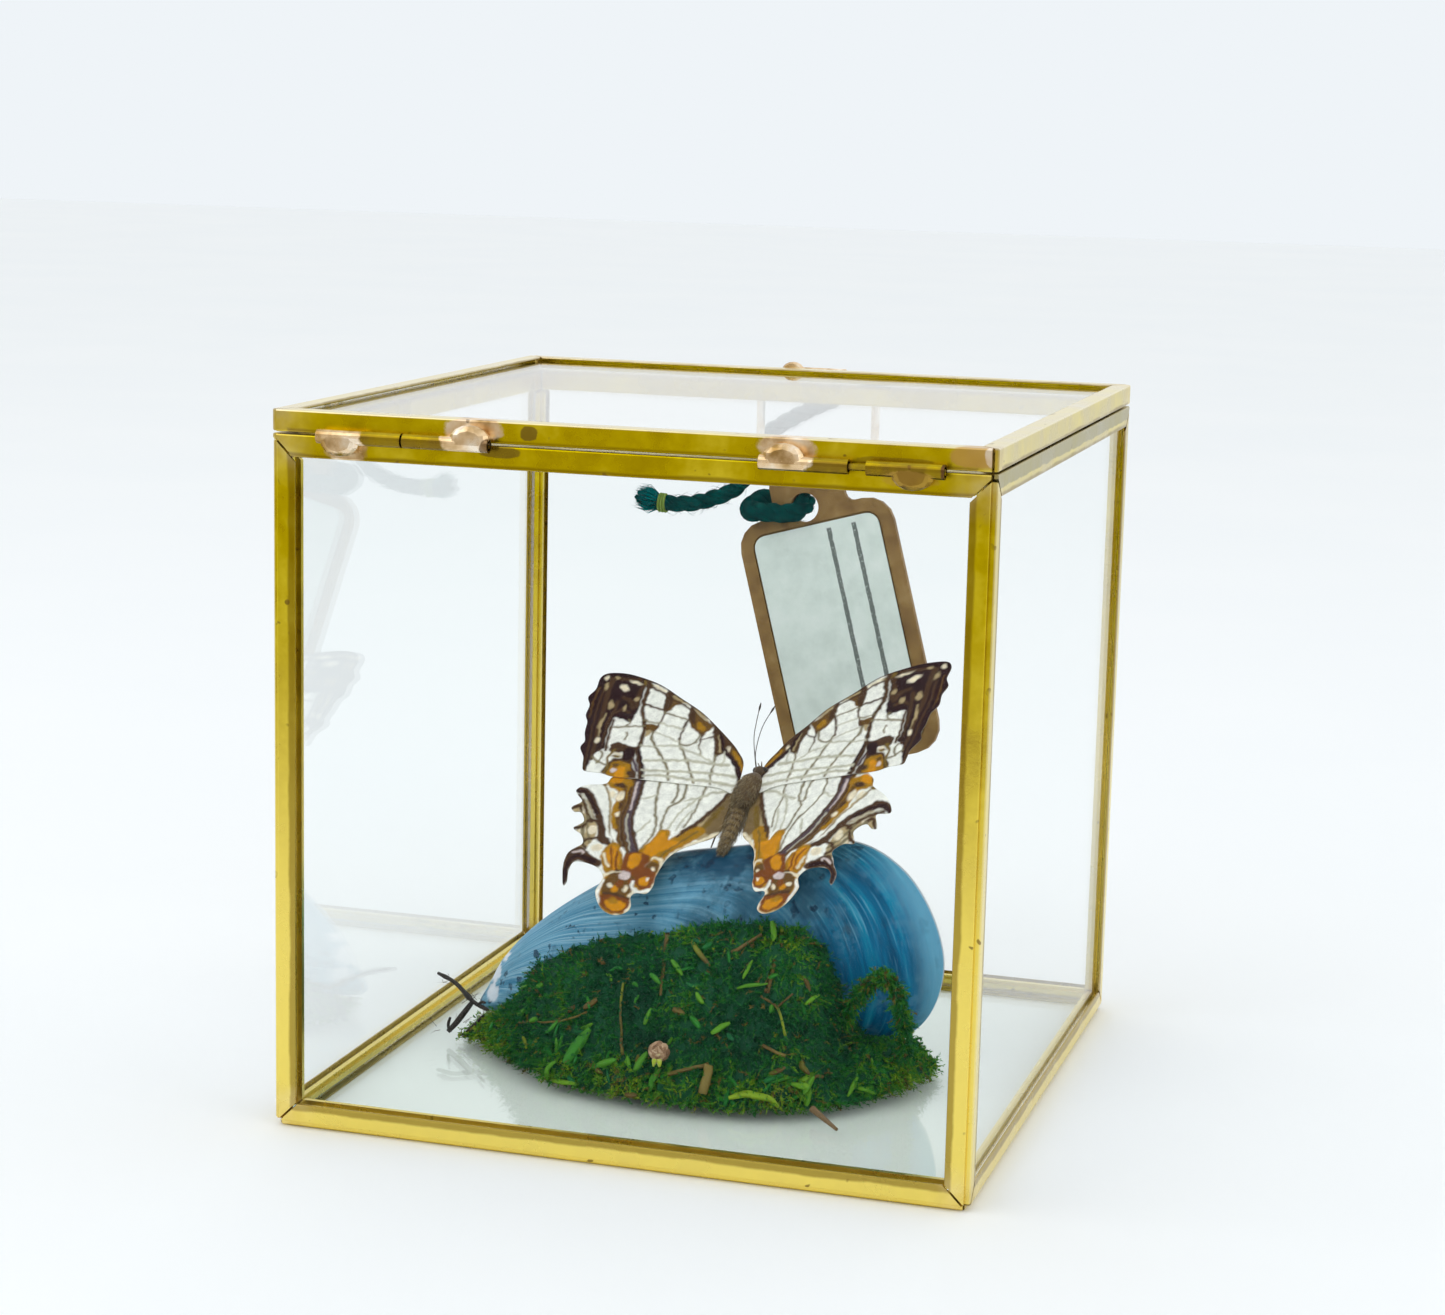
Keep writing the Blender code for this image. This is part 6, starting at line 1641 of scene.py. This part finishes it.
def add_fur(sheaf, shaker):
    """Fine hairs over the body, and long grey ones over the hindwings' inner edges."""
    for knots, count, reach, lift in FUR:
        for _ in range(count):
            share = shaker.random() * (len(knots) - 1)
            index = min(int(share), len(knots) - 2)
            part = share - index
            first, second = knots[index], knots[index + 1]
            middle = on_body([low + (high - low) * part for low, high in zip(first, second)])
            radius = (first[3] + (second[3] - first[3]) * part) * MM
            along = (on_body(second) - on_body(first)).normalized()
            across = along.orthogonal().normalized()
            across.rotate(Matrix.Rotation(shaker.uniform(0, FULL_TURN), 3, along))
            root = middle + across * radius * 0.95
            way = (along * 0.9 + across * shaker.uniform(0.2, 0.2 + lift)).normalized()
            tip = root + way * shaker.uniform(*reach) * MM
            add_hair(sheaf, root, tip, HAIR_WIDTH, across * 0.05 * MM, shaker.uniform(0.35, 1.0))
    for side in (-1, 1):
        for _ in range(LONG_HAIRS):
            start = shaker.uniform(-3.4, -8.6)
            root = on_body((side * shaker.uniform(0.7, 1.2) + 0.1, start, -0.2))
            tip = on_body((side * shaker.uniform(1.6, 3.6), start - shaker.uniform(1.0, 2.8),
                           shaker.uniform(-0.5, 0.3)))
            add_hair(sheaf, root, tip, HAIR_WIDTH, Vector((0, 0, 0.1 * MM)), shaker.uniform(0.45, 0.95))


def make_body():
    """Head, thorax, abdomen, legs and antennae with fine hairs."""
    insect = insect_look()
    body = Sheaf()
    add_trunk(body, THORAX_LINE, 0.22)
    add_trunk(body, ABDOMEN_LINE, 0.16)
    add_head(body)
    add_legs(body)
    hairs = Sheaf()
    add_fur(hairs, random.Random(33))
    bind(body.make("insect_body", insect), "butterfly_body")
    bind(hairs.make("insect_hairs", insect), "butterfly_body")


# ---------------------------------------------------------------- loose bits on the moss

# Kind, tone, width, and places across (x) and up (z) seen from the hinge side, millimetres
LITTER = (
    ("stem", 0.90, 0.62, ((1.0, 6.4), (6.5, 8.2))),
    ("stem", 0.97, 1.4, ((6.6, 8.0), (6.2, 4.6))),
    ("strap", 0.80, 1.1, ((10.2, 4.2), (12.7, 4.9), (15.5, 4.6), (16.9, 3.2))),
    ("strap", 0.57, 1.8, ((-15.5, 5.2), (-13.9, 7.9), (-12.3, 10.2))),
    ("strap", 0.61, 1.2, ((-4.2, 6.2), (-2.5, 8.8))),
    ("strap", 0.59, 1.1, ((-10.4, 5.8), (-7.0, 7.2))),
    ("stem", 0.98, 0.55, ((13.8, 11.2), (17.0, 9.9))),
    ("strap", 0.90, 0.9, ((24.2, 12.6), (26.5, 10.9))),
    ("strap", 0.69, 1.1, ((22.7, 9.8), (26.2, 8.9))),
    ("strap", 0.92, 0.8, ((0.2, 22.4), (4.0, 20.0))),
    ("stem", 0.94, 0.55, ((6.8, 22.0), (10.3, 24.2))),
    ("strap", 0.67, 0.9, ((10.9, 25.6), (12.5, 23.7))),
    ("strap", 0.90, 0.7, ((12.4, 25.9), (13.2, 24.3))),
    ("strap", 0.67, 0.6, ((9.1, 18.9), (9.9, 21.2))),
    ("strap", 0.65, 0.8, ((-2.0, 20.1), (0.2, 18.5))),
    ("strap", 0.59, 0.6, ((8.6, 17.8), (13.1, 18.7))),
    ("stem", 0.90, 0.39, ((-8.8, 16.4), (-8.2, 13.4), (-7.1, 10.2))),
    ("stem", 0.95, 0.31, ((-25.5, 8.2), (-16.9, 10.6), (-13.7, 12.1))),
    ("stem", 0.92, 0.47, ((-7.1, 10.0), (-6.4, 8.0))),
    ("stem", 0.90, 0.39, ((12.4, 17.2), (14.9, 16.0), (16.7, 12.4))),
    ("stem", 0.90, 0.31, ((14.9, 16.0), (16.6, 17.6))),
    ("strap", 0.96, 0.8, ((-4.8, 22.6), (-3.8, 21.5))),
    ("strap", 0.59, 0.8, ((-4.8, 18.1), (-2.7, 17.2))),
    ("strap", 0.65, 1.0, ((6.2, 12.0), (8.5, 13.5))),
    ("strap", 0.63, 0.8, ((-18.0, 2.6), (-18.1, 4.3), (-17.0, 5.3))),
    ("strap", 0.71, 0.8, ((-17.4, 2.7), (-13.2, 3.0))),
    ("strap", 0.92, 0.9, ((-5.0, 3.0), (-3.2, 3.2))),
    ("strap", 0.63, 0.9, ((26.4, 4.4), (28.4, 3.4))),
    ("strap", 0.92, 1.0, ((-14.3, 12.4), (-12.2, 13.8))),
    ("strap", 0.93, 1.0, ((-0.1, 14.4), (1.8, 14.1))),
    ("strap", 0.69, 0.7, ((18.4, 16.1), (19.7, 17.2))),
    ("stem", 0.92, 0.47, ((27.0, 10.2), (28.8, 11.4))),
    ("strap", 0.94, 0.8, ((15.4, 7.6), (17.2, 8.4))),
    ("strap", 0.67, 0.9, ((18.2, 6.2), (20.6, 5.4))),
)
# Twig, as the model has it
TWIG_ROUTE = ((-44.6, -2.0, 9.7), (-40.8, -4.4, 9.2), (-36.7, -7.3, 7.5), (-33.5, -9.2, 7.0))
TWIG_FORK = ((-36.8, -7.3, 7.5), (-37.6, -8.6, 6.1), (-38.6, -9.8, 4.5), (-39.5, -10.6, 3.4))
TWIG_SPURS = (
    ((-39.4, -10.5, 3.5), (-39.5, -10.4, 4.6), (-39.2, -10.4, 5.6)),
    ((-37.9, -10.4, 2.9), (-36.9, -10.2, 3.3), (-35.6, -9.8, 4.6), (-34.2, -9.4, 6.2)),
    ((-35.6, -8.2, 7.4), (-34.8, -8.6, 8.0), (-34.0, -9.4, 8.2)),
)
TWIG_HAIRS = 26
SPARE_STRAPS = 90             # short leafy scraps strewn at random
LOWEST_STRAP = 2.6
STRAP_TONES = (0.30, 0.40, 0.48, 0.55, 0.62, 0.90)
STRAP_HOLLOW = 0.25
FLOOR_TWIG = ((22.2, -26.6, 3.7), (24.4, -28.6, 3.2), (26.9, -30.8, 2.6))
FLOOR_HAIRS = 90
FOOT_ACROSS = 33              # half widths of the ring of fibres, and the middle of its depth
FOOT_DEEP = 25
FOOT_MIDDLE = -4
TOWARDS_BACK = Vector((0, 1, 0))
BEFORE_BOX = -60 * MM
BEFORE_MOUND = -30 * MM
BUD_LAYERS = 4
BUD_TIPS = (-0.35, 0.3)


def mound_finder():
    """A way to ask where the mound's face is, as seen from the hinge side."""
    mound = NODES["moss"]
    corners = [mound.matrix_world @ vertex.co for vertex in mound.data.vertices]
    return BVHTree.FromPolygons(corners, [tuple(face.vertices) for face in mound.data.polygons])


def laid_line(finder, flat, lift, step):
    """A line laid on the mound through places across and up."""
    line = []
    for point in smooth_line([Vector((x, 0, z)) * MM for x, z in flat], step):
        hit, normal, _, _ = finder.ray_cast(Vector((point.x, BEFORE_BOX, point.z)), TOWARDS_BACK)
        if hit is None:
            hit, normal, _, _ = finder.find_nearest(Vector((point.x, BEFORE_MOUND, point.z)))
        line.append(hit + normal * lift * MM)
    return line


def add_strap(sheaf, line, width, normal, tone):
    """A narrow leaf along a line, thicker in the middle and pointed at both ends."""
    points = []
    count = len(line)
    up = normal * width
    hollow = up * STRAP_HOLLOW * 0.3
    for index, point in enumerate(line):
        along = (line[min(index + 1, count - 1)] - line[max(index - 1, 0)]).normalized()
        across = along.cross(normal).normalized()
        share = index / (count - 1)
        half = width * 0.5 * max(0.12, math.sin(math.pi * (0.12 + 0.80 * share)) ** 0.7)
        points += [point - across * half, point + up * 0.10 - hollow,
                   point + across * half, point - up * 0.22 - hollow]
    last = (count - 1) * 4
    sheaf.add(points, band_faces(count, 4) + [(3, 2, 1, 0), (last, last + 1, last + 2, last + 3)], tone)


def lay_litter(sheaf, finder):
    """The stems and scraps that stand out."""
    for kind, tone, width, flat in LITTER:
        if kind == "stem":
            line = laid_line(finder, flat, width * 0.5, 0.45 * MM)
            radii = [width * 0.5 * MM * (1 + 0.18 * noise.noise(point * 900)) for point in line]
            add_tube(sheaf, line, radii, 8, tone)
        else:
            line = laid_line(finder, flat, 0.45, 0.4 * MM)
            add_strap(sheaf, line, width * MM, Vector((0, -0.85, 0.5)).normalized(), tone)


def strew_straps(sheaf, finder, shaker):
    """Short scraps anywhere on the mound's near side."""
    low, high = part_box("moss")
    strewn = 0
    while strewn < SPARE_STRAPS:
        x = shaker.uniform(low.x, high.x) / MM
        z = LOWEST_STRAP + MOUND_HEIGHT * shaker.random() ** 1.4
        hit, normal, _, _ = finder.ray_cast(Vector((x * MM, BEFORE_BOX, z * MM)), TOWARDS_BACK)
        if hit is None:
            continue
        strewn += 1
        lean = shaker.uniform(-math.pi, math.pi)
        half = shaker.uniform(0.5, 1.3)
        flat = ((x - math.cos(lean) * half, z - math.sin(lean) * half), (x, z + shaker.uniform(-0.3, 0.3)),
                (x + math.cos(lean) * half, z + math.sin(lean) * half))
        if min(flat[0][1], flat[2][1]) < LOWEST_STRAP:
            continue
        line = laid_line(finder, flat, shaker.uniform(-0.1, 0.5), 0.35 * MM)
        if (line[0] - line[-1]).length > 3 * half * MM:
            continue
        tone = shaker.choice(STRAP_TONES)
        width = shaker.uniform(0.45, 0.95) * MM
        add_strap(sheaf, line, width, (normal + Vector((0, -0.6, 0.2))).normalized(), tone)


def bark_look():
    """Dark bark, browner by tone."""
    made, look, shader = new_look("bark")
    tone = look.attribute("tone") + look.noise(900.0, 3.0) * 0.3
    colour = look.ramp(tone, (0.1, (0.020, 0.018, 0.016)), (0.45, (0.060, 0.040, 0.024)),
                       (0.9, (0.17, 0.105, 0.045)))
    settle(look, shader, Base_Color=colour, Roughness=0.85,
           Normal=look.bump(look.noise(1600.0, 3.0), 0.5, 0.15 * MM))
    return made


def add_twig(sheaf, shaker):
    """The forked twig with its knobs, spurs and hairs."""
    for route, thick in ((TWIG_ROUTE, 0.34), (TWIG_FORK, 0.46), *((spur, 0.24) for spur in TWIG_SPURS)):
        line = smooth_line(in_metres(route), 0.3 * MM)
        radii = []
        for index, point in enumerate(line):
            share = index / (len(line) - 1)
            knob = max(0.0, noise.noise(point * 420) - 0.15)
            radii.append(thick * MM * (0.55 + 0.45 * math.sin(math.pi * (0.15 + 0.7 * share)) + 0.9 * knob))
        add_tube(sheaf, line, radii, 10, 0.0)
    for _ in range(TWIG_HAIRS):
        base = Vector(shaker.choice(TWIG_ROUTE[1:] + TWIG_FORK)) * MM
        base = base + Vector((shaker.gauss(0, 1.4), shaker.gauss(0, 1.0), 0)) * MM
        base.z = max(base.z, 3.0 * MM)
        tip = base + Vector((shaker.gauss(0, 1.6), shaker.gauss(0, 1.2), shaker.uniform(-0.4, 1.4))) * MM
        tip.z = max(tip.z, 2.6 * MM)
        add_hair(sheaf, base, tip, 0.05 * MM, Vector((0, 0, 0.2 * MM)), shaker.uniform(0, 0.4))


def add_floor_bits(sheaf, shaker):
    """A short twig and loose fibres round the mound's foot."""
    line = smooth_line(in_metres(FLOOR_TWIG), 0.3 * MM)
    add_tube(sheaf, line, [0.52 * MM * (1 - 0.55 * index / len(line)) for index in range(len(line))], 8, 0.85)
    for _ in range(FLOOR_HAIRS):
        angle = shaker.uniform(math.pi * 0.98, math.pi * 2.02)
        base = Vector((math.cos(angle) * FOOT_ACROSS, FOOT_MIDDLE + math.sin(angle) * FOOT_DEEP, 2.6)) * MM
        way = Vector((math.cos(angle) * shaker.uniform(0.2, 1), math.sin(angle) * shaker.uniform(0.2, 1),
                      shaker.uniform(0, 0.35)))
        way.rotate(Matrix.Rotation(shaker.gauss(0, 0.6), 3, "Z"))
        tip = base + way * shaker.uniform(1.0, 3.4) * MM
        add_hair(sheaf, base, tip, 0.035 * MM, Vector((0, 0, 0.15 * MM)), shaker.uniform(0.2, 0.9))


def bud_look():
    """Dry pinkish brown scales, green at the tip."""
    made, look, shader = new_look("dry_bud")
    colour = look.ramp(uneven_tone(look, 1300.0, 0.7), (0.0, (0.08, 0.034, 0.014)),
                       (0.35, (0.22, 0.120, 0.060)), (0.65, (0.40, 0.26, 0.15)),
                       (0.84, (0.56, 0.43, 0.28)), (1.0, (0.36, 0.46, 0.03)))
    settle(look, shader, Base_Color=colour, Roughness=0.8,
           Normal=look.bump(look.noise(1500.0, 3.0), 0.5, 0.12 * MM))
    return made


def add_bud(sheaf, shaker):
    """A bud of overlapping scales with two green tips below."""
    low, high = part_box("bud")
    middle = (low + high) / 2
    reach = (high - low) / 2
    add_blob(sheaf, middle, reach * 0.72, Matrix.Identity(3), 0.25, rough=0.25)
    for layer in range(BUD_LAYERS):
        count = 9 - layer
        for index in range(count):
            angle = FULL_TURN * (index + 0.5 * layer) / count + shaker.uniform(-0.15, 0.15)
            tilt = 0.35 + 0.30 * layer
            out = Vector((math.cos(angle) * math.cos(tilt), -math.sin(tilt),
                          math.sin(angle) * math.cos(tilt)))
            place = middle + Vector((out.x * reach.x, out.y * reach.y, out.z * reach.z)) * 0.80
            turn = out.to_track_quat("Z", "Y").to_matrix()
            add_blob(sheaf, place, Vector((0.52, 0.62, 0.20)) * MM, turn, shaker.uniform(0.25, 0.80),
                     rough=0.35, segments=10, rings=6)
    for side in BUD_TIPS:
        line = [middle + Vector((side + 0.1 * step * side, -0.9 - 0.05 * step, -0.9 - 0.28 * step)) * MM
                for step in range(5)]
        add_tube(sheaf, line, [radius * MM for radius in (0.34, 0.40, 0.36, 0.26, 0.10)], 8, 1.0)


def make_litter():
    """Stems, leaf scraps, twigs and the dry bud lying on the moss."""
    shaker = random.Random(52)
    finder = mound_finder()
    scraps = Sheaf()
    lay_litter(scraps, finder)
    strew_straps(scraps, finder, shaker)
    bind(scraps.make("moss_litter", moss_look("dry_and_green_scraps")), "moss")
    bark = bark_look()
    for add_bits, name, material, node, slot in ((add_twig, "forked_twig", bark, "twig", "twig"),
                                                 (add_floor_bits, "floor_bits", bark, "moss", "moss"),
                                                 (add_bud, "dry_bud", bud_look(), "bud", "bud")):
        sheaf = Sheaf()
        add_bits(sheaf, shaker)
        bind(sheaf.make(name, material), node)


# ---------------------------------------------------------------- tag

# The tag's own frame, as the model has it: X across, Y up, Z towards the glass
TAG_HOLE = Vector((-3.2, 53.8, 78.0)) * MM
TAG_TILT = math.radians(16)
TAG_PITCH = math.radians(5)
TAG_ACROSS = Vector((math.cos(TAG_TILT), 0, math.sin(TAG_TILT)))
TAG_HANGING = Vector((-math.sin(TAG_TILT), 0, math.cos(TAG_TILT)))
TAG_UP = TAG_HANGING * math.cos(TAG_PITCH) + Vector((0, 1, 0)) * math.sin(TAG_PITCH)
RULED_LINES = (3.3, 7.6)      # millimetres across from the hole to each ruled line
RULED_SPAN = (-4.0, -37.0)    # millimetres along the tag
RULED_HALF = 0.32


def tag_place(look, axis):
    """Distance from the tag's hole along one of its directions."""
    made = look.node("VectorMath", (("operation", "DOT_PRODUCT"),))
    look.feed(made.inputs[0], look.place())
    made.inputs[1].default_value = axis
    return look.out(made, "Value") - TAG_HOLE.dot(axis)


def card_look():
    """Brown pressed card."""
    made, look, shader = new_look("brown_card")
    colour = look.ramp(look.noise(260.0, 4.0, roughness=0.6), (0.32, (0.175, 0.085, 0.016)),
                       (0.55, (0.270, 0.150, 0.036)), (0.72, (0.350, 0.215, 0.070)))
    settle(look, shader, Base_Color=colour, Roughness=0.55,
           Normal=look.bump(look.noise(2200.0), 0.35, 0.1 * MM))
    return made


def paper_look():
    """Pale paper with two ruled lines."""
    made, look, shader = new_look("label_paper")
    fibres = look.noise(2600.0, 3.0)
    colour = look.ramp(look.noise(210.0, 5.0, roughness=0.65), (0.30, (0.66, 0.74, 0.69)),
                       (0.52, (0.76, 0.84, 0.79)), (0.72, (0.84, 0.90, 0.86)))
    sideways = tag_place(look, TAG_ACROSS)
    along = tag_place(look, TAG_UP)
    wander = (look.noise(900.0) - 0.5) * (0.25 * MM)
    marks = [look.step(abs(sideways - line * MM + wander), (RULED_HALF + 0.12) * MM, RULED_HALF * MM)
             for line in RULED_LINES]
    top, foot = RULED_SPAN
    ends = look.step(along, top * MM, (top - 0.3) * MM) * look.step(along, foot * MM, (foot + 0.3) * MM)
    inked = look.most(*marks) * ends * look.step(fibres, 0.30, 0.45, 0.45, 0.85)
    settle(look, shader, Base_Color=look.mix(inked, colour, (0.055, 0.070, 0.062)), Roughness=0.85,
           Normal=look.bump(fibres, 0.25, 0.06 * MM))
    return made


make_camera()
make_twine()
make_floor()
make_room()
dress_case()
make_wings()
make_shell()
make_moss()
make_body()
make_litter()
dress(["tag_frame"], card_look())
dress(["tag_label"], paper_look())
